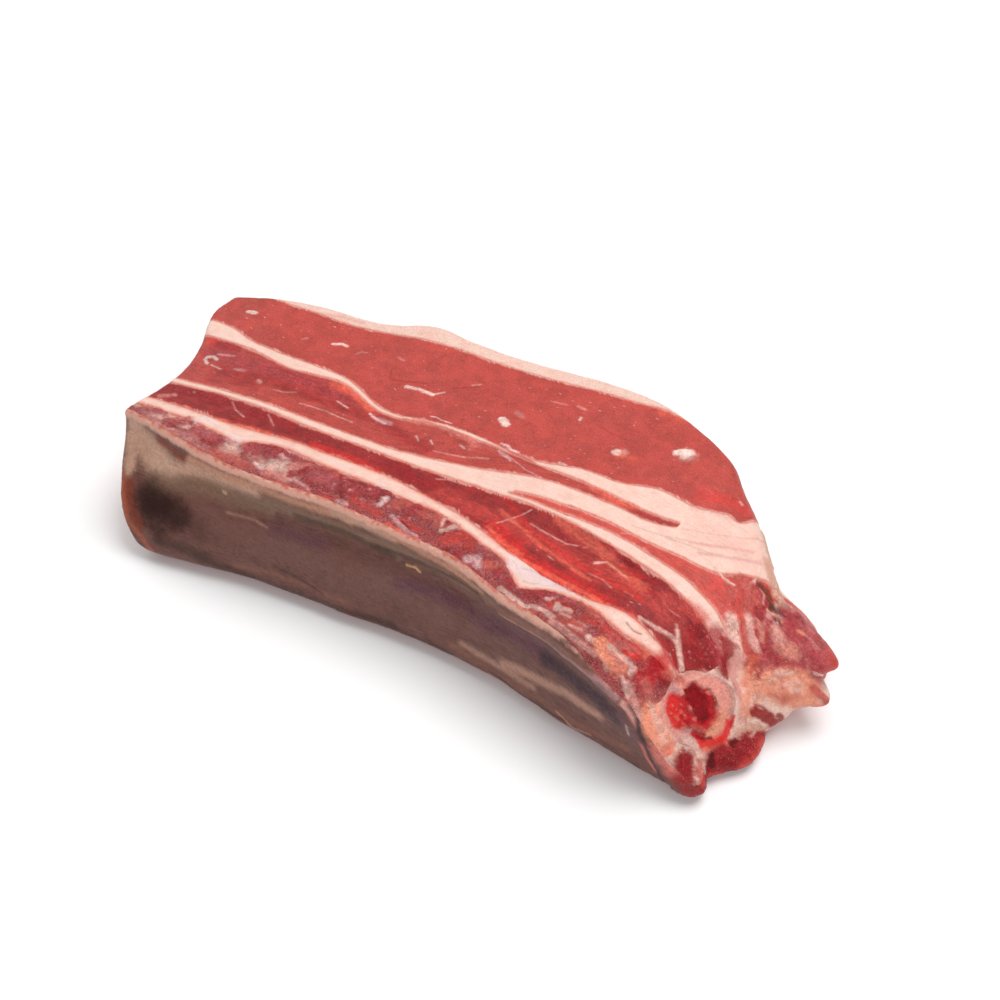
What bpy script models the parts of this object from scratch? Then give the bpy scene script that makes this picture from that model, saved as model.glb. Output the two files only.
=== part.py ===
"""Raw beef short rib: one rib bone with the muscle and fat that run along it, lying on a cut side.

+X runs along the rib to the sawn end, +Y from the rib side to the fat cover, +Z up.
Every layer is the same carved block cut by the seams beside it.
"""

import math

import bmesh
import bpy
import numpy as np

# Driving sizes, in metres. Places are first given in the cutting frame, whose zero lies on the top cut.
HEIGHT = 0.045
GAP = 0.0003
SKIN = 0.0016
BOX_MIDDLE = (-0.01527, 0.00641)
SHELF = 0.0325
FLOOR_MEAT = 0.0085
NOMINAL = (0.250, 0.100, HEIGHT)
EDGE_RADIUS, FOOT_RADIUS = 0.0025, 0.0055
DIVISIONS = (30, 9, 5)
SEAM_DRIFT, SEAM_WAVER = -0.07, 0.0010
GUIDE_X, GUIDE_Z, GUIDE_DIVISIONS = (-0.170, 0.150), (-0.020, 0.070), (26, 1, 3)
SKIN_Z, SKIN_DIVISIONS = (-0.004, 0.056), (26, 1, 6)
LEVEL_START, LEVEL_LENGTH = -0.2, 0.4
FAR, ABOVE, BELOW = 0.150, 0.080, -0.020
WEDGE_X, MIDDLE_X = (0.0015, 0.150), (-0.170, 0.0555)

# The rib side and the fat cover, as (x, y) along the top cut and low down on the wall.
RIB_SIDE_TOP = (
    (-0.152, -0.042), (-0.135, -0.042), (-0.110, -0.043), (-0.085, -0.042), (-0.065, -0.040),
    (-0.044, -0.036), (-0.020, -0.0335), (0.005, -0.032), (0.025, -0.035), (0.050, -0.038),
    (0.077, -0.044), (0.110, -0.047),
)
RIB_SIDE_LOW = (
    (-0.140, -0.066), (-0.111, -0.064), (-0.094, -0.059), (-0.074, -0.053), (-0.055, -0.049),
    (-0.034, -0.0455), (-0.014, -0.0412), (0.007, -0.0388), (0.025, -0.0380), (0.053, -0.0402),
    (0.075, -0.0405), (0.091, -0.0408), (0.110, -0.0400),
)
COVER_TOP = (
    (-0.152, 0.0310), (-0.140, 0.0385), (-0.118, 0.0470), (-0.090, 0.0540), (-0.074, 0.0615),
    (-0.058, 0.0625), (-0.037, 0.0670), (-0.010, 0.0732), (0.020, 0.0757), (0.040, 0.0710),
    (0.056, 0.0637), (0.066, 0.0552), (0.074, 0.0488), (0.082, 0.0415), (0.088, 0.0345),
    (0.094, 0.0278), (0.104, 0.0170), (0.115, 0.0080),
)
# The ends: x at the top cut against the share of the width, and how far each end leans out at the bottom.
LEFT_END_TOP = (
    (0.0, -0.1395), (0.40, -0.1390), (0.55, -0.1425), (0.72, -0.1485), (0.86, -0.1520), (1.0, -0.1520),
)
LEFT_LEAN, LEFT_BULGE = (0.0240, 0.009), (0.0042, 0.0015)
RIGHT_END_TOP = ((0.0, 0.077), (0.39, 0.0868), (0.75, 0.0955), (1.0, 0.0985))
RIGHT_LEAN, END_TUCK, END_RADIUS = 0.0275, 0.0070, 0.0070

# Humps: height, then place and reach along the top cut as (x, y), or on the sawn end as (y, z).
TOP_HUMPS = {
    "loose edge": (0.0016, (-0.0100, 0.0170), (0.0450, 0.0090)),
    "cleft": (-0.0014, (-0.0120, 0.0225), (0.0400, 0.0040)),
    "pit": (-0.0022, (0.0530, 0.0000), (0.0120, 0.0040)),
}
END_HUMPS = {
    "flap": (0.0060, (0.0160, 0.0260), (0.0220, 0.0200)),
    "fat": (0.0060, (0.0060, 0.0140), (0.0170, 0.0120)),
    "flap tip": (0.0080, (0.0210, 0.0240), (0.0090, 0.0090)),
    "fat tip": (0.0065, (0.0150, 0.0125), (0.0085, 0.0080)),
    "meat lump": (0.0055, (-0.0375, 0.0060), (0.0095, 0.0100)),
    "meat strip": (0.0040, (-0.0160, 0.0040), (0.0140, 0.0080)),
    "notch": (-0.0040, (-0.0040, 0.0280), (0.0070, 0.0160)),
}

# Seams on the top cut, as (x, y), from the rib side outwards.
INNER_FAT_LOW = (
    (-0.160, -0.040), (-0.130, -0.0355), (-0.113, -0.0325), (-0.094, -0.0315), (-0.080, -0.025),
    (-0.056, -0.0235), (-0.037, -0.0200), (-0.013, -0.0175), (0.008, -0.021), (0.020, -0.0235),
    (0.028, -0.0285), (0.037, -0.0250), (0.053, -0.024), (0.068, -0.0255), (0.084, -0.0245),
    (0.120, -0.029),
)
INNER_FAT_HIGH = (
    (-0.160, -0.034), (-0.124, -0.0285), (-0.100, -0.0250), (-0.080, -0.0200), (-0.058, -0.0170),
    (-0.032, -0.0125), (-0.007, -0.0130), (0.019, -0.0180), (0.048, -0.0205), (0.066, -0.0180),
    (0.082, -0.0205), (0.120, -0.0265),
)
MIDDLE_FAT_LOW = (
    (-0.160, -0.0225), (-0.127, -0.0180), (-0.102, -0.0140), (-0.074, -0.0100), (-0.042, -0.0050),
    (-0.014, 0.0007), (0.010, 0.0033), (0.044, 0.0045), (0.069, 0.0010), (0.090, -0.0040),
    (0.120, -0.0110),
)
WEDGE_LOW = (
    (0.001, 0.0047), (0.020, 0.0063), (0.045, 0.0098), (0.060, 0.0082), (0.080, 0.0052),
    (0.095, 0.0010), (0.130, -0.0080),
)
WEDGE_HIGH = (
    (0.001, 0.0060), (0.020, 0.0100), (0.038, 0.0130), (0.060, 0.0142), (0.078, 0.0163),
    (0.084, 0.0210), (0.090, 0.0260), (0.097, 0.0330), (0.104, 0.0460), (0.130, 0.0950),
)
MIDDLE_FAT_HIGH = (
    (-0.160, -0.0195), (-0.126, -0.0150), (-0.100, -0.0110), (-0.070, -0.0055), (-0.043, -0.0008),
    (-0.022, 0.0065), (0.000, 0.0135), (0.028, 0.0198), (0.052, 0.0240), (0.058, 0.0270),
    (0.065, 0.0320), (0.072, 0.0385), (0.076, 0.0450), (0.080, 0.0700), (0.084, 0.1000),
)
OUTER_FAT_LOW = (
    (-0.165, 0.0030), (-0.140, 0.0080), (-0.122, 0.0100), (-0.104, 0.0090), (-0.083, 0.0150),
    (-0.062, 0.0120), (-0.041, 0.0160), (-0.012, 0.0190), (0.004, 0.0225), (0.031, 0.0243),
    (0.047, 0.0262), (0.056, 0.0280),
)
OUTER_FAT_HIGH = (
    (-0.165, 0.0120), (-0.140, 0.0160), (-0.124, 0.0140), (-0.100, 0.0160), (-0.083, 0.0182),
    (-0.062, 0.0142), (-0.041, 0.0180), (-0.017, 0.0215), (0.002, 0.0245), (0.015, 0.0295),
    (0.028, 0.0312), (0.042, 0.0372), (0.056, 0.0375), (0.066, 0.0412), (0.074, 0.0450),
    (0.078, 0.0700), (0.082, 0.1000),
)
COVER_INNER = (
    (-0.165, 0.0600), (-0.140, 0.0400), (-0.118, 0.0415), (-0.088, 0.0480), (-0.068, 0.0530),
    (-0.043, 0.0580), (-0.016, 0.0640), (0.004, 0.0690), (0.021, 0.0725), (0.040, 0.0760),
    (0.070, 0.1000),
)

# The fat lump that stands out of the sawn end, below the wedge muscle: its middle and half sizes.
LUMP_MIDDLE = (0.1130, 0.0055, 0.0138)
LUMP_HALF = (0.0200, 0.0150, 0.0112)
LUMP_DETAIL = 2

# The rib bone: x, then its middle's y and z, then half its thickness and half its width.
BONE_STATIONS = (
    (-0.170, -0.0420, 0.0185, 0.0085, 0.0125),
    (-0.110, -0.0412, 0.0185, 0.0085, 0.0125),
    (-0.060, -0.0335, 0.0190, 0.0085, 0.0125),
    (0.000, -0.0238, 0.0195, 0.0088, 0.0120),
    (0.050, -0.0252, 0.0215, 0.0100, 0.0115),
    (0.096, -0.0228, 0.0246, 0.0123, 0.0118),
    (0.140, -0.0180, 0.0275, 0.0125, 0.0118),
)
MARROW_SHARE = 0.64
BONE_SIDES, BONE_SLICES = 14, 7

COLOURS = {
    "muscle": ((0.42, 0.045, 0.040), 0.35),
    "dark_muscle": ((0.27, 0.022, 0.026), 0.35),
    "fat": ((0.80, 0.62, 0.53), 0.45),
    "bone": ((0.74, 0.60, 0.54), 0.45),
    "marrow": ((0.30, 0.012, 0.012), 0.40),
    "membrane": ((0.30, 0.19, 0.13), 0.35),
}


def smooth_line(points):
    """Returns y(x) through the points, as a cubic with slopes taken from each point's neighbours."""
    xs, ys = np.array(points, float).T
    steps = np.diff(ys) / np.diff(xs)
    slopes = np.concatenate(([steps[0]], (steps[1:] + steps[:-1]) / 2, [steps[-1]]))

    def line(x):
        x = np.clip(np.asarray(x, float), xs[0], xs[-1])
        i = np.clip(np.searchsorted(xs, x) - 1, 0, len(xs) - 2)
        width = xs[i + 1] - xs[i]
        t = (x - xs[i]) / width
        start = (1 + 2 * t) * (1 - t) ** 2 * ys[i] + t * (1 - t) ** 2 * width * slopes[i]
        finish = t * t * (3 - 2 * t) * ys[i + 1] + t * t * (t - 1) * width * slopes[i + 1]
        return start + finish

    return line


def ease(value, low, high):
    """0 up to low, 1 from high on, smooth between."""
    t = np.clip((np.asarray(value, float) - low) / (high - low), 0.0, 1.0)
    return t * t * (3 - 2 * t)


def hump(x, y, at, reach):
    """A smooth mound of height 1 at a place, gone at its reach."""
    square = ((x - at[0]) / reach[0]) ** 2 + ((y - at[1]) / reach[1]) ** 2
    return np.clip(1 - square, 0.0, 1.0) ** 2


rib_side_top = smooth_line(RIB_SIDE_TOP)
rib_side_low = smooth_line(RIB_SIDE_LOW)
cover_top = smooth_line(COVER_TOP)
left_end_top = smooth_line(LEFT_END_TOP)
right_end_top = smooth_line(RIGHT_END_TOP)


def rib_side(x, up):
    """The membrane wall's y: it leans out towards the bottom, with a shallow crease above the bone."""
    low_share = 1 - ease(up, 0.12, 0.95)
    wall = rib_side_top(x) * (1 - low_share) + rib_side_low(x) * low_share
    crease = 0.0016 * np.exp(-(((up - 0.72) / 0.10) ** 2))
    return wall + crease * ease(x, -0.12, -0.06)


def cover_side(x, up):
    """The fat cover's y: a little fuller at half height, and reaching further along at the sawn end."""
    lag = 0.008 * (1 - up) * ease(x, 0.03, 0.08) + 0.027 * (1 - up) ** 1.3 * ease(x, 0.084, 0.104)
    ripple = 0.0012 * np.sin(x / 0.011 + 4 * up) + 0.0010 * np.sin(x / 0.0063 - 3 * up)
    swell = 0.004 * np.sin(math.pi * up) * ease(-x, -0.080, -0.040)
    return cover_top(x - lag) + swell - 0.003 * (1 - up) + ripple * (1 - up)


def top_relief(x, y):
    """How far the top cut rises or sinks: gentle swells, its humps and the fall towards both ends."""
    lumps = 0.0011 * np.sin(x / 0.0042) * ease(-y, 0.022, 0.032)
    swell = 0.0008 * np.sin(x / 0.021 + y / 0.013) + 0.0005 * np.sin(x / 0.009 - y / 0.017)
    humps = sum(height * hump(x, y, at, reach) for height, at, reach in TOP_HUMPS.values())
    fall = -0.0060 * ease(x - 0.25 * y, 0.060, 0.100) - 0.004 * ease(x + y, 0.095, 0.135)
    left_dip = -0.0020 * ease(-x, 0.115, 0.150)
    return lumps + swell + humps + fall + left_dip


def end_relief(y, up):
    """How far the sawn end's pieces stand out or, at the notch, sink."""
    return sum(height * hump(y, up * HEIGHT, at, reach) for height, at, reach in END_HUMPS.values())


def rounded(points):
    """Rounds the nominal box's edges: tight on the top cut, full at the foot."""
    size = np.array(NOMINAL)
    places = points * size
    end = END_RADIUS * ease(points[:, 0:1], 0.80, 0.97) * points[:, 2:3]
    radius = EDGE_RADIUS + FOOT_RADIUS * (1 - points[:, 2:3]) ** 2 + end
    inner = np.clip(places, radius, size - radius)
    away = places - inner
    length = np.linalg.norm(away, axis=1, keepdims=True)
    pull = np.where(length > radius, radius / np.maximum(length, 1e-9), 1.0)
    return (inner + away * pull) / size


def carved(points):
    """Moves points of the unit cube onto the block of meat, in the cutting frame."""
    along, across, up = rounded(points).T
    lean = LEFT_LEAN[0] + (LEFT_LEAN[1] - LEFT_LEAN[0]) * across
    bulge = LEFT_BULGE[0] + (LEFT_BULGE[1] - LEFT_BULGE[0]) * across
    left = left_end_top(across) + lean * (1 - up) ** 1.2 - bulge * np.sin(math.pi * up)
    tuck = END_TUCK * ease(across, 0.25, 0.85) * (1 - up) ** 2
    right = right_end_top(across) + RIGHT_LEAN * (1 - up) - tuck
    x = left + (right - left) * along
    near, far = rib_side(x, up), cover_side(x, up)
    y = near + (far - near) * across
    x = x + end_relief(y, up) * ease(along, 0.90, 1.0)
    z = up * HEIGHT + top_relief(x, y) * ease(up, 0.55, 1.0)
    return np.stack([x, y, z], 1)


def divided_cube(divisions):
    """A unit cube from 0 to 1, cut into the given number of slices along each axis."""
    bm = bmesh.new()
    bmesh.ops.create_cube(bm, size=1.0)
    bmesh.ops.translate(bm, verts=bm.verts, vec=(0.5, 0.5, 0.5))
    for axis, count in enumerate(divisions):
        normal = [0.0, 0.0, 0.0]
        normal[axis] = 1.0
        for step in range(1, count):
            place = [0.0, 0.0, 0.0]
            place[axis] = step / count
            bmesh.ops.bisect_plane(
                bm, geom=bm.verts[:] + bm.edges[:] + bm.faces[:], plane_co=place, plane_no=normal
            )
    return bm


def shaped_mesh(name, bm, shape):
    """Turns a bmesh into a mesh of triangles whose points went through shape, moved to the box's middle."""
    bmesh.ops.triangulate(bm, faces=bm.faces)
    mesh = bpy.data.meshes.new(name)
    bm.to_mesh(mesh)
    bm.free()
    flat = np.empty(len(mesh.vertices) * 3)
    mesh.vertices.foreach_get("co", flat)
    places = shape(flat.reshape(-1, 3)) - np.array([*BOX_MIDDLE, 0.0])
    mesh.vertices.foreach_set("co", places.astype(np.float32).ravel())
    mesh.update()
    return mesh


def lean_of(x, z):
    """Seams aren't upright: they drift towards the rib side lower down and waver on the way."""
    depth = HEIGHT - z
    waver = SEAM_WAVER * np.sin(depth / 0.006 + x / 0.030) * ease(depth, 0.002, 0.012)
    return SEAM_DRIFT * depth + waver


def slab_shape(low, high, x_range, z_range, lean):
    """Maps the unit cube to the upright slab between two lines, low and high giving y from x."""

    def shape(points):
        x = x_range[0] + (x_range[1] - x_range[0]) * points[:, 0]
        z = z_range[0] + (z_range[1] - z_range[0]) * points[:, 2]
        shift = lean(x, z)
        start, finish = low(x) + shift, high(x) + shift
        return np.stack([x, start + (finish - start) * points[:, 1], z], 1)

    return shape


def bone_shape(share, grow):
    """Maps a unit cylinder along X to the rib bone, at a share of its thickness plus grow."""
    stations = np.array(BONE_STATIONS)
    lines = [smooth_line(stations[:, (0, column)]) for column in range(1, 5)]

    def shape(points):
        x = stations[0, 0] + (stations[-1, 0] - stations[0, 0]) * points[:, 0]
        middle_y, middle_z, thick, wide = (line(x) for line in lines)
        y = middle_y + points[:, 1] * (thick * share + grow)
        z = middle_z + points[:, 2] * (wide * share + grow)
        return np.stack([x, y, z], 1)

    return shape


def unit_cylinder(sides, slices):
    """A cylinder of radius 1 along X from 0 to 1, cut into slices."""
    bm = bmesh.new()
    bmesh.ops.create_cone(bm, cap_ends=True, segments=sides, radius1=1.0, radius2=1.0, depth=1.0)
    for vert in bm.verts:
        vert.co = (vert.co.z + 0.5, vert.co.x, vert.co.y)
    for step in range(1, slices):
        bmesh.ops.bisect_plane(
            bm, geom=bm.verts[:] + bm.edges[:] + bm.faces[:],
            plane_co=(step / slices, 0, 0), plane_no=(1, 0, 0),
        )
    bmesh.ops.recalc_face_normals(bm, faces=bm.faces)
    return bm


def material(name):
    """One Principled material for each kind of tissue."""
    found = bpy.data.materials.get(name)
    if found:
        return found
    made = bpy.data.materials.new(name)
    made.use_nodes = True
    shader = made.node_tree.nodes["Principled BSDF"]
    colour, roughness = COLOURS[name]
    shader.inputs["Base Color"].default_value = (*colour, 1.0)
    shader.inputs["Roughness"].default_value = roughness
    shader.inputs["Metallic"].default_value = 0.0
    made.diffuse_color = (*colour, 1.0)
    return made


def add_cutter(name, mesh, cutters):
    """A guide that cuts other pieces and is left out of the object."""
    cutter = bpy.data.objects.new(name, mesh)
    cutter.hide_render = True
    cutter.display_type = "WIRE"
    cutters.objects.link(cutter)
    return cutter


def add_piece(name, mesh, tissue, cuts, parts):
    """A named piece: a mesh, its tissue's material and its Boolean cuts in order."""
    piece = bpy.data.objects.new(name, mesh.copy())
    piece.data.materials.append(material(tissue))
    parts.objects.link(piece)
    for operation, cutter in cuts:
        cut = piece.modifiers.new(f"{operation.lower()} {cutter.name}", "BOOLEAN")
        cut.operation = operation
        cut.solver = "EXACT"
        cut.object = cutter
    return piece


def new_collection(name):
    collection = bpy.data.collections.new(name)
    bpy.context.scene.collection.children.link(collection)
    return collection


def build():
    for old in list(bpy.data.objects):
        bpy.data.objects.remove(old)
    parts, cutters = new_collection("beef short rib"), new_collection("cutters")

    block = shaped_mesh("block", divided_cube(DIVISIONS), carved)

    def guide(name, low, high, x_range=GUIDE_X, z_range=GUIDE_Z, lean=lean_of, divisions=GUIDE_DIVISIONS):
        shape = slab_shape(low, high, x_range, z_range, lean)
        return add_cutter(name, shaped_mesh(name, divided_cube(divisions), shape), cutters)

    def moved(line, distance):
        return lambda x: line(x) + distance

    def far(x):
        return np.full_like(np.asarray(x, float), FAR)

    def seam(name, points):
        """Returns the cuts for the piece outside a seam and the piece inside it, half a gap off it."""
        line = smooth_line(points)
        outer = guide(name + "_outer_guide", moved(line, GAP / 2), far)
        inner = guide(name + "_inner_guide", moved(line, -GAP / 2), far)
        return ("INTERSECT", outer), ("DIFFERENCE", inner)

    def band(name, bottom, top):
        """Returns the cut that keeps one level of the meat beside and around the bone."""

        def shape(points):
            return points * (LEVEL_LENGTH, LEVEL_LENGTH, top - bottom) + (LEVEL_START, LEVEL_START, bottom)

        mesh = shaped_mesh(name, divided_cube((1, 1, 1)), shape)
        return "INTERSECT", add_cutter(name, mesh, cutters)

    def bar(name, share, grow):
        return shaped_mesh(name, unit_cylinder(BONE_SIDES, BONE_SLICES), bone_shape(share, grow))

    def skin_lean(x, z):
        return rib_side(x, np.clip(z / HEIGHT, 0.0, 1.0)) + SKIN

    def zero(x):
        return np.zeros_like(np.asarray(x, float))

    wall = {"z_range": SKIN_Z, "lean": skin_lean, "divisions": SKIN_DIVISIONS}
    skin_bore = guide("skin_bore", zero, far, **wall)
    meat = guide("meat_guide", moved(zero, GAP), far, **wall)
    under_skin = ("INTERSECT", meat)
    bone_cut = ("DIFFERENCE", add_cutter("bone_bore", bar("bone_bore", 1.0, GAP), cutters))
    marrow_cut = ("DIFFERENCE", add_cutter("marrow_bore", bar("marrow_bore", MARROW_SHARE, GAP), cutters))
    whole = ("INTERSECT", add_cutter("block_guide", block, cutters))
    upper = band("upper_level", SHELF + GAP / 2, ABOVE)
    bed = band("bed_level", FLOOR_MEAT + GAP / 2, SHELF - GAP / 2)
    floor = band("floor_level", BELOW, FLOOR_MEAT - GAP / 2)

    past_inner_low, before_inner_low = seam("inner_low", INNER_FAT_LOW)
    past_inner_high, before_inner_high = seam("inner_high", INNER_FAT_HIGH)
    past_middle, before_middle = seam("middle", MIDDLE_FAT_LOW)
    past_outer, before_outer = seam("outer", OUTER_FAT_HIGH)
    past_cover, before_cover = seam("cover", COVER_INNER)

    def lens(name, low, high, x_range):
        """Returns the cut that keeps a muscle lying inside the branching fat, and the fat's bore for it."""
        low, high = smooth_line(low), smooth_line(high)
        kept = guide(name + "_guide", low, high, x_range)
        wider = (x_range[0] - GAP, x_range[1] + GAP)
        bore = guide(name + "_bore", moved(low, -GAP), moved(high, GAP), wider)
        return ("INTERSECT", kept), ("DIFFERENCE", bore)

    def ball(name, grow):
        """A guide the size of the fat lump plus grow."""
        lump = bmesh.new()
        bmesh.ops.create_icosphere(lump, subdivisions=LUMP_DETAIL, radius=1.0)

        def shape(points):
            return np.array(LUMP_MIDDLE) + points * (np.array(LUMP_HALF) + grow)

        return add_cutter(name, shaped_mesh(name, lump, shape), cutters)

    in_lump, out_of_lump = ("INTERSECT", ball("lump_guide", 0.0)), ("DIFFERENCE", ball("lump_bore", GAP))

    in_wedge, out_of_wedge = lens("wedge", WEDGE_LOW, WEDGE_HIGH, WEDGE_X)
    in_middle, out_of_middle = lens("middle_muscle", MIDDLE_FAT_HIGH, OUTER_FAT_LOW, MIDDLE_X)

    pieces = {
        "rib_membrane": ("membrane", block, [("DIFFERENCE", skin_bore)]),
        "intercostal_muscle": ("dark_muscle", block, [upper, before_inner_low, under_skin, bone_cut]),
        "inner_fat_seam": ("fat", block, [upper, past_inner_low, before_inner_high, bone_cut]),
        "inner_muscle": ("dark_muscle", block, [upper, past_inner_high, before_middle, bone_cut]),
        "bone_bed": ("fat", block, [bed, before_middle, under_skin, bone_cut]),
        "floor_muscle": ("dark_muscle", block, [floor, before_middle, under_skin, bone_cut]),
        "rib_bone": ("bone", bar("bone", 1.0, 0.0), [whole, marrow_cut]),
        "bone_marrow": ("marrow", bar("marrow", MARROW_SHARE, 0.0), [whole]),
        "branching_fat_seam": (
            "fat", block, [past_middle, before_outer, out_of_wedge, out_of_middle, out_of_lump],
        ),
        "wedge_muscle": ("muscle", block, [in_wedge, out_of_lump]),
        "end_fat_lump": ("fat", block, [past_middle, in_lump]),
        "middle_muscle": ("muscle", block, [in_middle]),
        "outer_muscle": ("muscle", block, [past_outer, before_cover]),
        "fat_cover": ("fat", block, [past_cover]),
    }
    for name, (tissue, mesh, cuts) in pieces.items():
        add_piece(name, mesh, tissue, cuts, parts)


build()
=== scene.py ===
"""Raw beef short rib: a carved block of meat split into its muscles, fat, membrane and bone."""

import itertools
import math

import bpy
import numpy as np
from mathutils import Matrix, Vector
from mathutils.geometry import delaunay_2d_cdt


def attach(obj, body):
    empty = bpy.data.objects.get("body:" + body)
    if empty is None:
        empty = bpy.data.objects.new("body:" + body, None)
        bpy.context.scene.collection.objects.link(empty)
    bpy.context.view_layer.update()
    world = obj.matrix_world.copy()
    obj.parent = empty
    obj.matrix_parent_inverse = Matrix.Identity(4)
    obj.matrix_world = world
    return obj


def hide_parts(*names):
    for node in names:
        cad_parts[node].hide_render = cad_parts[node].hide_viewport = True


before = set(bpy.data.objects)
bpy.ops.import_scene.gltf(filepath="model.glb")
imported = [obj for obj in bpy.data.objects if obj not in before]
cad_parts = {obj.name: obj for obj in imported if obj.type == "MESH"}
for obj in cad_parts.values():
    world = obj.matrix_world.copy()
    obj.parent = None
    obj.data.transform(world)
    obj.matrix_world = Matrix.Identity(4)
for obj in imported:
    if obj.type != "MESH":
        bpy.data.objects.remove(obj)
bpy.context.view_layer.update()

bl_info = {
    "name": "Beef short rib",
    "version": (1, 0, 0),
    "blender": (4, 5, 0),
    "location": "View3D > Sidebar > Short rib",
    "description": "Builds a raw bone-in beef short rib and its studio",
    "category": "Object",
}

MM = 0.001

# Sizes of the carved block, in metres. Places are in the cutting frame, which is the part's own
# frame moved by BOX_MIDDLE.
BOX_MIDDLE = np.array((-0.01527, 0.00641, 0.0))
HEIGHT = 0.045
SKIN = 0.0016
# The tops of the fat round the bone and of the dark meat below it.
SHELF, FLOOR_MEAT = 0.0325, 0.0085
# The plain box in which the unit cube's edges are rounded, and their radii.
NOMINAL = np.array((0.250, 0.100, HEIGHT))
EDGE_RADIUS, FOOT_RADIUS, END_RADIUS, END_RADIUS_ALONG = 0.0025, 0.0055, 0.0070, (0.80, 0.97)
# How far the guides reach. They go past the block, so each one cuts right through it.
GUIDE_X, GUIDE_Z, SKIN_Z = (-0.170, 0.150), (-0.020, 0.070), (-0.004, 0.056)
GUIDE_LENGTH, FAR = 0.320, 0.150
# The wedge muscle starts, and the middle muscle stops, part of the way along the rib.
WEDGE_X, MIDDLE_X = (0.0015, 0.150), (-0.170, 0.0555)

# The walls as (x, y): the rib side at the top cut and at the foot, and the fat cover at the top.
RIB_SIDE_TOP = (
    (-0.152, -0.042), (-0.135, -0.042), (-0.110, -0.043), (-0.085, -0.042), (-0.065, -0.040),
    (-0.044, -0.036), (-0.020, -0.0335), (0.005, -0.032), (0.025, -0.035), (0.050, -0.038),
    (0.077, -0.044), (0.110, -0.047),
)
RIB_SIDE_LOW = (
    (-0.140, -0.066), (-0.111, -0.064), (-0.094, -0.059), (-0.074, -0.053), (-0.055, -0.049),
    (-0.034, -0.0455), (-0.014, -0.0412), (0.007, -0.0388), (0.025, -0.0380), (0.053, -0.0402),
    (0.075, -0.0405), (0.091, -0.0408), (0.110, -0.0400),
)
COVER_TOP = (
    (-0.152, 0.0310), (-0.140, 0.0385), (-0.118, 0.0470), (-0.090, 0.0540), (-0.074, 0.0615),
    (-0.058, 0.0625), (-0.037, 0.0670), (-0.010, 0.0732), (0.020, 0.0757), (0.040, 0.0710),
    (0.056, 0.0637), (0.066, 0.0552), (0.074, 0.0488), (0.082, 0.0415), (0.088, 0.0345),
    (0.094, 0.0278), (0.104, 0.0170), (0.115, 0.0080),
)
# The ends at the top cut: the share of the way across, then x. Further down they lean, bulge and
# tuck in; a pair gives the amount at the rib side and at the far side.
LEFT_END_TOP = (
    (0.0, -0.1395), (0.40, -0.1390), (0.55, -0.1425), (0.72, -0.1485), (0.86, -0.1520),
    (1.0, -0.1520),
)
LEFT_LEAN, LEFT_BULGE = (0.0240, 0.009), (0.0042, 0.0015)
RIGHT_END_TOP = ((0.0, 0.077), (0.39, 0.0868), (0.75, 0.0955), (1.0, 0.0985))
RIGHT_LEAN, END_TUCK, END_TUCKS = 0.0275, 0.0070, (0.25, 0.85)

# The rib side: the shares of the height between which it leans, then its crease's depth, height
# and half width, and where along the rib the crease comes in.
WALL_LEANS = (0.12, 0.95)
CREASE_DEPTH, CREASE_UP, CREASE_HALF, CREASE_STARTS = 0.0016, 0.72, 0.10, (-0.12, -0.06)
# The cover's side: how far its foot lags along the rib, its swell and tuck, and where along the
# rib each comes in. Its ripples are height, length along the rib and turn over the wall.
COVER_LAG, COVER_LAGS, END_LAG, END_LAGS = 0.008, (0.03, 0.08), 0.027, (0.084, 0.104)
COVER_SWELL, COVER_SWELLS, COVER_TUCK = 0.004, (-0.080, -0.040), 0.003
COVER_RIPPLES = ((0.0012, 0.011, 4), (0.0010, 0.0063, -3))
# The top cut: its waves as height and length along x and y, then its falls to the sawn end, to
# the far corner and to the left end, as depth and where they come in.
TOP_WAVES = ((0.0008, 0.021, 0.013), (0.0005, 0.009, -0.017))
TOP_FALLS = ((0.0060, (0.060, 0.100)), (0.004, (0.095, 0.135)), (0.0020, (0.115, 0.150)))
# The shares of the length and of the height from which the humps on the end and the top show.
END_RELIEF_FROM, TOP_RELIEF_FROM = 0.90, 0.55
# How the seams drift and wave on their way down, and how their edges waver.
SEAM_DRIFT, SEAM_WAVE, SEAM_WAVE_DEEP, SEAM_WAVE_LONG = 0.07, 0.0010, 0.006, 0.030
SEAM_WAVE_FROM = (0.002, 0.012)
EDGE_WAVER, EDGE_WAVER_SIZE, EDGE_WAVER_SEED = 0.00022, 0.0031, 5
# How far the bone is out of round, and over what length; the size of a ball's end rings.
BONE_UNEVEN, BONE_UNEVEN_LENGTH = 0.05, 0.02
POLE = 0.04

# Humps: height, then place and reach along the top cut as (x, y), or on the sawn end as (y, z).
TOP_HUMPS = {
    "loose edge": (0.0016, (-0.0100, 0.0170), (0.0450, 0.0090)),
    "cleft": (-0.0014, (-0.0120, 0.0225), (0.0400, 0.0040)),
    "pit": (-0.0022, (0.0530, 0.0000), (0.0120, 0.0040)),
}
END_HUMPS = {
    "flap": (0.0060, (0.0160, 0.0260), (0.0220, 0.0200)),
    "fat": (0.0060, (0.0060, 0.0140), (0.0170, 0.0120)),
    "flap tip": (0.0080, (0.0210, 0.0240), (0.0090, 0.0090)),
    "fat tip": (0.0065, (0.0150, 0.0125), (0.0085, 0.0080)),
    "meat lump": (0.0055, (-0.0375, 0.0060), (0.0095, 0.0100)),
    "meat strip": (0.0040, (-0.0160, 0.0040), (0.0140, 0.0080)),
    "notch": (-0.0040, (-0.0040, 0.0280), (0.0070, 0.0160)),
}

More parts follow.
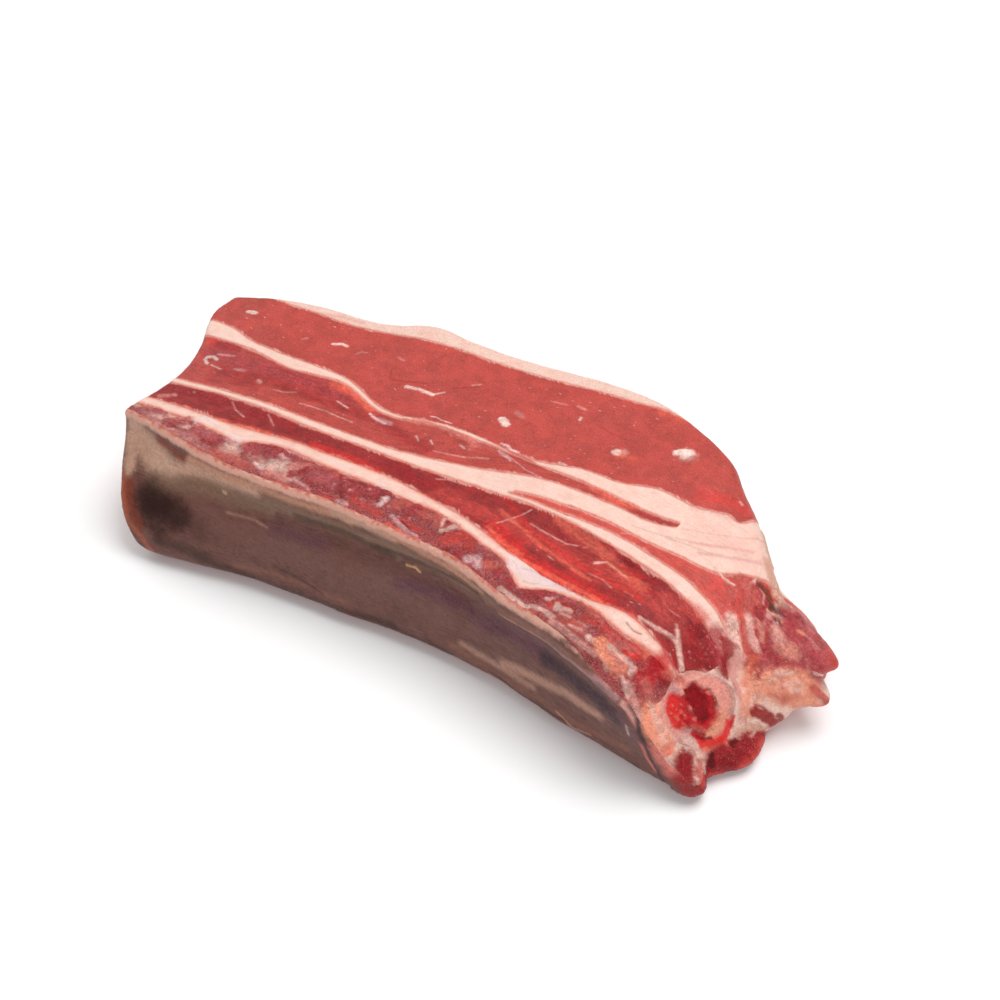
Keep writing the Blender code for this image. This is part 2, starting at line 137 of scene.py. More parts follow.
# Seams on the top cut, as (x, y), from the rib side outwards.
SEAMS = {
    "inner_low": (
        (-0.160, -0.040), (-0.130, -0.0355), (-0.113, -0.0325), (-0.094, -0.0315),
        (-0.080, -0.025), (-0.056, -0.0235), (-0.037, -0.0200), (-0.013, -0.0175), (0.008, -0.021),
        (0.020, -0.0235), (0.028, -0.0285), (0.037, -0.0250), (0.053, -0.024), (0.068, -0.0255),
        (0.084, -0.0245), (0.120, -0.029),
    ),
    "inner_high": (
        (-0.160, -0.034), (-0.124, -0.0285), (-0.100, -0.0250), (-0.080, -0.0200),
        (-0.058, -0.0170), (-0.032, -0.0125), (-0.007, -0.0130), (0.019, -0.0180),
        (0.048, -0.0205), (0.066, -0.0180), (0.082, -0.0205), (0.120, -0.0265),
    ),
    "middle_low": (
        (-0.160, -0.0225), (-0.127, -0.0180), (-0.102, -0.0140), (-0.074, -0.0100),
        (-0.042, -0.0050), (-0.014, 0.0007), (0.010, 0.0033), (0.044, 0.0045), (0.069, 0.0010),
        (0.090, -0.0040), (0.120, -0.0110),
    ),
    "wedge_low": (
        (0.001, 0.0047), (0.020, 0.0063), (0.045, 0.0098), (0.060, 0.0082), (0.080, 0.0052),
        (0.095, 0.0010), (0.130, -0.0080),
    ),
    "wedge_high": (
        (0.001, 0.0060), (0.020, 0.0100), (0.038, 0.0130), (0.060, 0.0142), (0.078, 0.0163),
        (0.084, 0.0210), (0.090, 0.0260), (0.097, 0.0330), (0.104, 0.0460), (0.130, 0.0950),
    ),
    "middle_high": (
        (-0.160, -0.0195), (-0.126, -0.0150), (-0.100, -0.0110), (-0.070, -0.0055),
        (-0.043, -0.0008), (-0.022, 0.0065), (0.000, 0.0135), (0.028, 0.0198), (0.052, 0.0240),
        (0.058, 0.0270), (0.065, 0.0320), (0.072, 0.0385), (0.076, 0.0450), (0.080, 0.0700),
        (0.084, 0.1000),
    ),
    "outer_low": (
        (-0.165, 0.0030), (-0.140, 0.0080), (-0.122, 0.0100), (-0.104, 0.0090), (-0.083, 0.0150),
        (-0.062, 0.0120), (-0.041, 0.0160), (-0.012, 0.0190), (0.004, 0.0225), (0.031, 0.0243),
        (0.047, 0.0262), (0.056, 0.0280),
    ),
    "outer_high": (
        (-0.165, 0.0120), (-0.140, 0.0160), (-0.124, 0.0140), (-0.100, 0.0160), (-0.083, 0.0182),
        (-0.062, 0.0142), (-0.041, 0.0180), (-0.017, 0.0215), (0.002, 0.0245), (0.015, 0.0295),
        (0.028, 0.0312), (0.042, 0.0372), (0.056, 0.0375), (0.066, 0.0412), (0.074, 0.0450),
        (0.078, 0.0700), (0.082, 0.1000),
    ),
    "cover_inner": (
        (-0.165, 0.0600), (-0.140, 0.0400), (-0.118, 0.0415), (-0.088, 0.0480), (-0.068, 0.0530),
        (-0.043, 0.0580), (-0.016, 0.0640), (0.004, 0.0690), (0.021, 0.0725), (0.040, 0.0760),
        (0.070, 0.1000),
    ),
}
# The seams that stop short of an end: where they start and stop along the rib.
SEAM_SPANS = {
    "wedge_low": (0.001, 0.150), "wedge_high": (0.001, 0.150),
    "middle_high": (-0.160, 0.0555), "outer_low": (-0.160, 0.0555),
}
LUMP_MIDDLE, LUMP_HALF = (0.1130, 0.0055, 0.0138), (0.0200, 0.0150, 0.0112)
# The rib bone: x, then its middle's y and z, then half its thickness and half its width.
BONE_STATIONS = np.array((
    (-0.170, -0.0420, 0.0185, 0.0085, 0.0125),
    (-0.110, -0.0412, 0.0185, 0.0085, 0.0125),
    (-0.060, -0.0335, 0.0190, 0.0085, 0.0125),
    (0.000, -0.0238, 0.0195, 0.0088, 0.0120),
    (0.050, -0.0252, 0.0215, 0.0100, 0.0115),
    (0.096, -0.0228, 0.0246, 0.0123, 0.0118),
    (0.140, -0.0180, 0.0275, 0.0125, 0.0118),
))
MARROW_SHARE, MARROW_SHIFT = 0.65, (-0.0012, -0.0008)

# How each piece is cut: its source, whether the inside or outside of a guide is kept, the guide.
INSIDE, OUTSIDE = "INTERSECT", "DIFFERENCE"
CUTS = {
    "rib_membrane": ("block", OUTSIDE, "skin"),
    "under_skin": ("block", INSIDE, "skin"),
    "bone_bar": ("under_skin", INSIDE, "bone"),
    "flesh": ("under_skin", OUTSIDE, "bone"),
    "rib_bone": ("bone_bar", OUTSIDE, "marrow"),
    "bone_marrow": ("bone_bar", INSIDE, "marrow"),
    "rib_part": ("flesh", OUTSIDE, "middle_low"),
    "far_part": ("flesh", INSIDE, "middle_low"),
    "rib_upper": ("rib_part", INSIDE, "upper_level"),
    "rib_lower": ("rib_part", OUTSIDE, "upper_level"),
    "bone_bed": ("rib_lower", INSIDE, "bed_level"),
    "floor_muscle": ("rib_lower", OUTSIDE, "bed_level"),
    "intercostal_muscle": ("rib_upper", OUTSIDE, "inner_low"),
    "past_inner_low": ("rib_upper", INSIDE, "inner_low"),
    "inner_fat_seam": ("past_inner_low", OUTSIDE, "inner_high"),
    "inner_muscle": ("past_inner_low", INSIDE, "inner_high"),
    "fat_part": ("far_part", OUTSIDE, "outer_high"),
    "outer_part": ("far_part", INSIDE, "outer_high"),
    "outer_muscle": ("outer_part", OUTSIDE, "cover_inner"),
    "fat_cover": ("outer_part", INSIDE, "cover_inner"),
    "end_fat_lump": ("fat_part", INSIDE, "lump"),
    "fat_less_lump": ("fat_part", OUTSIDE, "lump"),
    "wedge_muscle": ("fat_less_lump", INSIDE, "wedge"),
    "fat_less_wedge": ("fat_less_lump", OUTSIDE, "wedge"),
    "middle_muscle": ("fat_less_wedge", INSIDE, "middle_muscle_guide"),
    "branching_fat_seam": ("fat_less_wedge", OUTSIDE, "middle_muscle_guide"),
}
# The seams that bound each piece; its shading changes towards them.
BORDERS = {
    "rib_membrane": (),
    "rib_bone": (),
    "bone_marrow": (),
    "bone_bed": ("middle_low",),
    "floor_muscle": ("middle_low",),
    "intercostal_muscle": ("inner_low",),
    "inner_fat_seam": ("inner_low", "inner_high"),
    "inner_muscle": ("inner_high", "middle_low"),
    "outer_muscle": ("outer_high", "cover_inner"),
    "fat_cover": ("cover_inner",),
    "end_fat_lump": (),
    "wedge_muscle": ("wedge_low", "wedge_high"),
    "middle_muscle": ("middle_high", "outer_low"),
    "branching_fat_seam": (
        "middle_low", "wedge_low", "wedge_high", "middle_high", "outer_low", "outer_high",
    ),
}

# Large odd numbers that scramble a place on the noise's lattice, and the bits that are kept.
MIX_X, MIX_Y, MIX_Z, MIX_SEED, MIX_ALL = 73856093, 19349663, 83492791, 40503, 1274126177
WORD, HALF_WORD = 0xFFFFFFFF, 0xFFFF


def smooth_line(points):
    """A cubic y(x) through the points, with slopes taken from each point's neighbours."""
    xs, ys = np.array(points, float).T
    steps = np.diff(ys) / np.diff(xs)
    slopes = np.concatenate(([steps[0]], (steps[1:] + steps[:-1]) / 2, [steps[-1]]))

    def line(x):
        x = np.clip(np.asarray(x, float), xs[0], xs[-1])
        i = np.clip(np.searchsorted(xs, x) - 1, 0, len(xs) - 2)
        width = xs[i + 1] - xs[i]
        t = (x - xs[i]) / width
        start = (1 + 2 * t) * (1 - t) ** 2 * ys[i] + t * (1 - t) ** 2 * width * slopes[i]
        finish = t * t * (3 - 2 * t) * ys[i + 1] + t * t * (t - 1) * width * slopes[i + 1]
        return start + finish

    return line


def ease(value, low, high):
    """0 up to low, 1 from high on, smooth between."""
    t = np.clip((np.asarray(value, float) - low) / (high - low), 0.0, 1.0)
    return t * t * (3 - 2 * t)


def hump(x, y, at, reach):
    """A smooth mound of height 1 at a place, gone at its reach."""
    square = ((x - at[0]) / reach[0]) ** 2 + ((y - at[1]) / reach[1]) ** 2
    return np.clip(1 - square, 0.0, 1.0) ** 2


def lattice_noise(places, seed):
    """Smooth noise from -1 to 1 that changes over one unit."""
    base = np.floor(places).astype(np.int64)
    part = places - base
    part = part * part * (3 - 2 * part)
    total = np.zeros(len(places))
    for corner in itertools.product((0, 1), repeat=3):
        i, j, k = (base + corner).T
        code = (i * MIX_X ^ j * MIX_Y ^ k * MIX_Z ^ (seed + 1) * MIX_SEED) & WORD
        code = (code ^ (code >> 13)) * MIX_ALL & WORD
        value = ((code ^ (code >> 16)) & HALF_WORD) / (HALF_WORD / 2) - 1
        total += value * np.prod(np.where(corner, part, 1 - part), axis=1)
    return total


def rough(places, size, seed, octaves=2):
    """Noise of several sizes, each half as large and half as strong as the one before."""
    total = np.zeros(len(places))
    for octave in range(octaves):
        total += lattice_noise(places * (2**octave / size), seed + octave) / 2**octave
    return total


rib_side_top = smooth_line(RIB_SIDE_TOP)
rib_side_low = smooth_line(RIB_SIDE_LOW)
cover_top = smooth_line(COVER_TOP)
left_end_top = smooth_line(LEFT_END_TOP)
right_end_top = smooth_line(RIGHT_END_TOP)
seam_lines = {name: smooth_line(points) for name, points in SEAMS.items()}
bone_lines = [smooth_line(BONE_STATIONS[:, (0, column)]) for column in range(1, 5)]


def rib_side(x, up):
    """The membrane wall's y: it leans out at the bottom, with a shallow crease over the bone."""
    low_share = 1 - ease(up, *WALL_LEANS)
    wall = rib_side_top(x) * (1 - low_share) + rib_side_low(x) * low_share
    crease = CREASE_DEPTH * np.exp(-(((up - CREASE_UP) / CREASE_HALF) ** 2))
    return wall + crease * ease(x, *CREASE_STARTS)


def cover_side(x, up):
    """The fat cover's y: fuller at half height, and reaching further along at the sawn end."""
    lag = COVER_LAG * (1 - up) * ease(x, *COVER_LAGS)
    lag = lag + END_LAG * (1 - up) ** 1.3 * ease(x, *END_LAGS)
    ripple = sum(size * np.sin(x / long + turn * up) for size, long, turn in COVER_RIPPLES)
    swell = COVER_SWELL * np.sin(math.pi * up) * ease(-x, *COVER_SWELLS)
    return cover_top(x - lag) + swell - COVER_TUCK * (1 - up) + ripple * (1 - up)


def top_relief(x, y):
    """How far the top cut rises or sinks: gentle swells, its humps and the fall to both ends."""
    swell = sum(size * np.sin(x / long + y / wide) for size, long, wide in TOP_WAVES)
    humps = sum(height * hump(x, y, at, reach) for height, at, reach in TOP_HUMPS.values())
    places = (x - 0.25 * y, x + y, -x)
    end, corner, left = (depth * ease(at, *span) for at, (depth, span) in zip(places, TOP_FALLS))
    return swell + humps - (end + corner) - left


def end_relief(y, up):
    """How far the sawn end's pieces stand out or, at the notch, sink."""
    z = up * HEIGHT
    return sum(height * hump(y, z, at, reach) for height, at, reach in END_HUMPS.values())


def rounded(points):
    """Rounds the nominal box's edges: tight on the top cut, full at the foot."""
    places = points * NOMINAL
    end = END_RADIUS * ease(points[:, 0:1], *END_RADIUS_ALONG) * points[:, 2:3]
    radius = EDGE_RADIUS + FOOT_RADIUS * (1 - points[:, 2:3]) ** 2 + end
    inner = np.clip(places, radius, NOMINAL - radius)
    away = places - inner
    length = np.linalg.norm(away, axis=1, keepdims=True)
    pull = np.where(length > radius, radius / np.maximum(length, 1e-9), 1.0)
    return (inner + away * pull) / NOMINAL


def carved(points):
    """Moves points of the unit cube onto the block of meat, in the cutting frame."""
    along, across, up = rounded(points).T
    lean, bulge = (near + (far - near) * across for near, far in (LEFT_LEAN, LEFT_BULGE))
    left = left_end_top(across) + lean * (1 - up) ** 1.2 - bulge * np.sin(math.pi * up)
    tuck = END_TUCK * ease(across, *END_TUCKS) * (1 - up) ** 2
    right = right_end_top(across) + RIGHT_LEAN * (1 - up) - tuck
    x = left + (right - left) * along
    near, far = rib_side(x, up), cover_side(x, up)
    y = near + (far - near) * across
    x = x + end_relief(y, up) * ease(along, END_RELIEF_FROM, 1.0)
    z = up * HEIGHT + top_relief(x, y) * ease(up, TOP_RELIEF_FROM, 1.0)
    return np.stack([x, y, z], 1)


def lean_of(x, z):
    """Seams aren't upright: they drift to the rib side lower down and waver on the way."""
    depth = HEIGHT - z
    waver = SEAM_WAVE * np.sin(depth / SEAM_WAVE_DEEP + x / SEAM_WAVE_LONG)
    return -SEAM_DRIFT * depth + waver * ease(depth, *SEAM_WAVE_FROM)


def level(x):
    return np.zeros_like(np.asarray(x, float))


def far_off(x):
    return level(x) + FAR


def skin_lean(x, z):
    return rib_side(x, np.clip(z / HEIGHT, 0.0, 1.0)) + SKIN


def slab_shape(low, high, x_range=GUIDE_X, z_range=GUIDE_Z, lean=lean_of, waver=EDGE_WAVER):
    """Maps the unit cube to the upright slab between two lines, whose edges waver a little."""

    def shape(points):
        x = x_range[0] + (x_range[1] - x_range[0]) * points[:, 0]
        z = z_range[0] + (z_range[1] - z_range[0]) * points[:, 2]
        own_noise = np.full_like(x, low(0.0) * 97)
        places = np.stack([x, z * 0.3, own_noise], 1)
        shift = lean(x, z) + waver * rough(places, EDGE_WAVER_SIZE, EDGE_WAVER_SEED, 3)
        start, finish = low(x) + shift, high(x) + shift
        return np.stack([x, start + (finish - start) * points[:, 1], z], 1)

    return shape


def bone_shape(share, shift, seed):
    """Maps a unit cylinder along X to the rib bone, at a share of its thickness, out of round."""

    def shape(points):
        first, last = BONE_STATIONS[0, 0], BONE_STATIONS[-1, 0]
        x = first + (last - first) * points[:, 0]
        middle_y, middle_z, thick, wide = (line(x) for line in bone_lines)
        places = np.stack([points[:, 1] * 2, points[:, 2] * 2, x / BONE_UNEVEN_LENGTH], 1)
        swell = share * (1 + BONE_UNEVEN * rough(places, 1.0, seed, 3))
        y = middle_y + shift[0] + points[:, 1] * thick * swell
        z = middle_z + shift[1] + points[:, 2] * wide * swell
        return np.stack([x, y, z], 1)

    return shape


def new_mesh(name, points, triangles):
    """A mesh from arrays of points, in metres in the part's own frame, and of triangles."""
    mesh = bpy.data.meshes.new(name)
    mesh.vertices.add(len(points))
    mesh.vertices.foreach_set("co", np.ascontiguousarray(points, np.float32).ravel())
    mesh.loops.add(3 * len(triangles))
    mesh.loops.foreach_set("vertex_index", np.ascontiguousarray(triangles, np.int32).ravel())
    mesh.polygons.add(len(triangles))
    mesh.polygons.foreach_set("loop_start", np.arange(0, 3 * len(triangles), 3, dtype=np.int32))
    mesh.update(calc_edges=True)
    return mesh


def add_object(name, data):
    made = bpy.data.objects.new(name, data)
    bpy.context.scene.collection.objects.link(made)
    return made


def coordinates(mesh, kind="co"):
    """The mesh's points, or with "normal" their normals, as rows of an array."""
    flat = np.empty(len(mesh.vertices) * 3, np.float32)
    mesh.vertices.foreach_get(kind, flat)
    return flat.reshape(-1, 3).astype(float)


def box_skin(counts, floor_counts=(1, 1)):
    """Points and triangles of a unit cube's skin: a grid on top, walls in rows and a floor."""
    nx, ny, nz = counts
    i, j = np.meshgrid(np.arange(nx + 1), np.arange(ny + 1), indexing="ij")
    top = np.stack([i / nx, j / ny, np.ones_like(i, float)], 2).reshape(-1, 3)
    index = np.arange(len(top)).reshape(nx + 1, ny + 1)
    corners = (index[:-1, :-1], index[1:, :-1], index[1:, 1:], index[:-1, 1:])
    a, b, c, d = (corner.ravel() for corner in corners)
    triangles = [np.stack([a, b, c], 1), np.stack([a, c, d], 1)]
    ring = np.concatenate([index[:-1, 0], index[-1, :-1], index[:0:-1, -1], index[0, :0:-1]])
    points, upper = [top], ring
    count = len(top)
    for row in range(1, nz + 1):
        lower = count + np.arange(len(ring))
        places = top[ring].copy()
        places[:, 2] = 1 - row / nz
        points.append(places)
        up_next, low_next = np.roll(upper, -1), np.roll(lower, -1)
        triangles.append(np.stack([upper, lower, low_next], 1))
        triangles.append(np.stack([upper, low_next, up_next], 1))
        upper, count = lower, count + len(ring)
    grid = [
        (u / floor_counts[0], v / floor_counts[1])
        for u in range(1, floor_counts[0]) for v in range(1, floor_counts[1])
    ]
    flat = [tuple(place[:2]) for place in top[ring]]
    edges = [(k, (k + 1) % len(flat)) for k in range(len(flat))]
    found = delaunay_2d_cdt([Vector(place) for place in flat + grid], edges, [], 1, 1e-9)
    source = np.array([ids[0] for ids in found[3]])
    names = np.concatenate([upper, count + np.arange(len(grid))])
    points.append(np.array([(u, v, 0.0) for u, v in grid]).reshape(-1, 3))
    triangles.append(names[source[np.array([face[::-1] for face in found[2]])]])
    return np.concatenate(points), np.concatenate(triangles)


def tube_skin(sides, slices):
    """Points and triangles of a cylinder of radius 1 along X from 0 to 1."""
    turn, row = np.meshgrid(np.arange(sides), np.arange(slices + 1))
    angle = 2 * math.pi * turn.ravel() / sides
    points = np.stack([row.ravel() / slices, np.cos(angle), np.sin(angle)], 1)
    points = np.concatenate([points, [(0, 0, 0), (1, 0, 0)]])
    index = np.arange(sides * (slices + 1)).reshape(slices + 1, sides)
    a, b = index[:-1].ravel(), index[1:].ravel()
    c, d = np.roll(index, -1, 1)[1:].ravel(), np.roll(index, -1, 1)[:-1].ravel()
    start, finish = len(points) - 2, len(points) - 1
    first, last = index[0], index[-1]
    caps = [
        np.stack([np.full(sides, start), np.roll(first, -1), first], 1),
        np.stack([np.full(sides, finish), last, np.roll(last, -1)], 1),
    ]
    return points, np.concatenate([np.stack([a, c, b], 1), np.stack([a, d, c], 1), *caps])


def ball_skin(rows, sides):
    """Points and triangles of a ball of radius 1, its poles drawn in to small rings."""
    points, triangles = tube_skin(sides, rows)
    along = points[:, 0] * math.pi
    ring = np.hypot(points[:, 1], points[:, 2]) > 0.5
    width = np.where(ring, np.sin(POLE + along * (1 - 2 * POLE / math.pi)), 0.0)
    return np.stack([-np.cos(along), points[:, 1] * width, points[:, 2] * width], 1), triangles


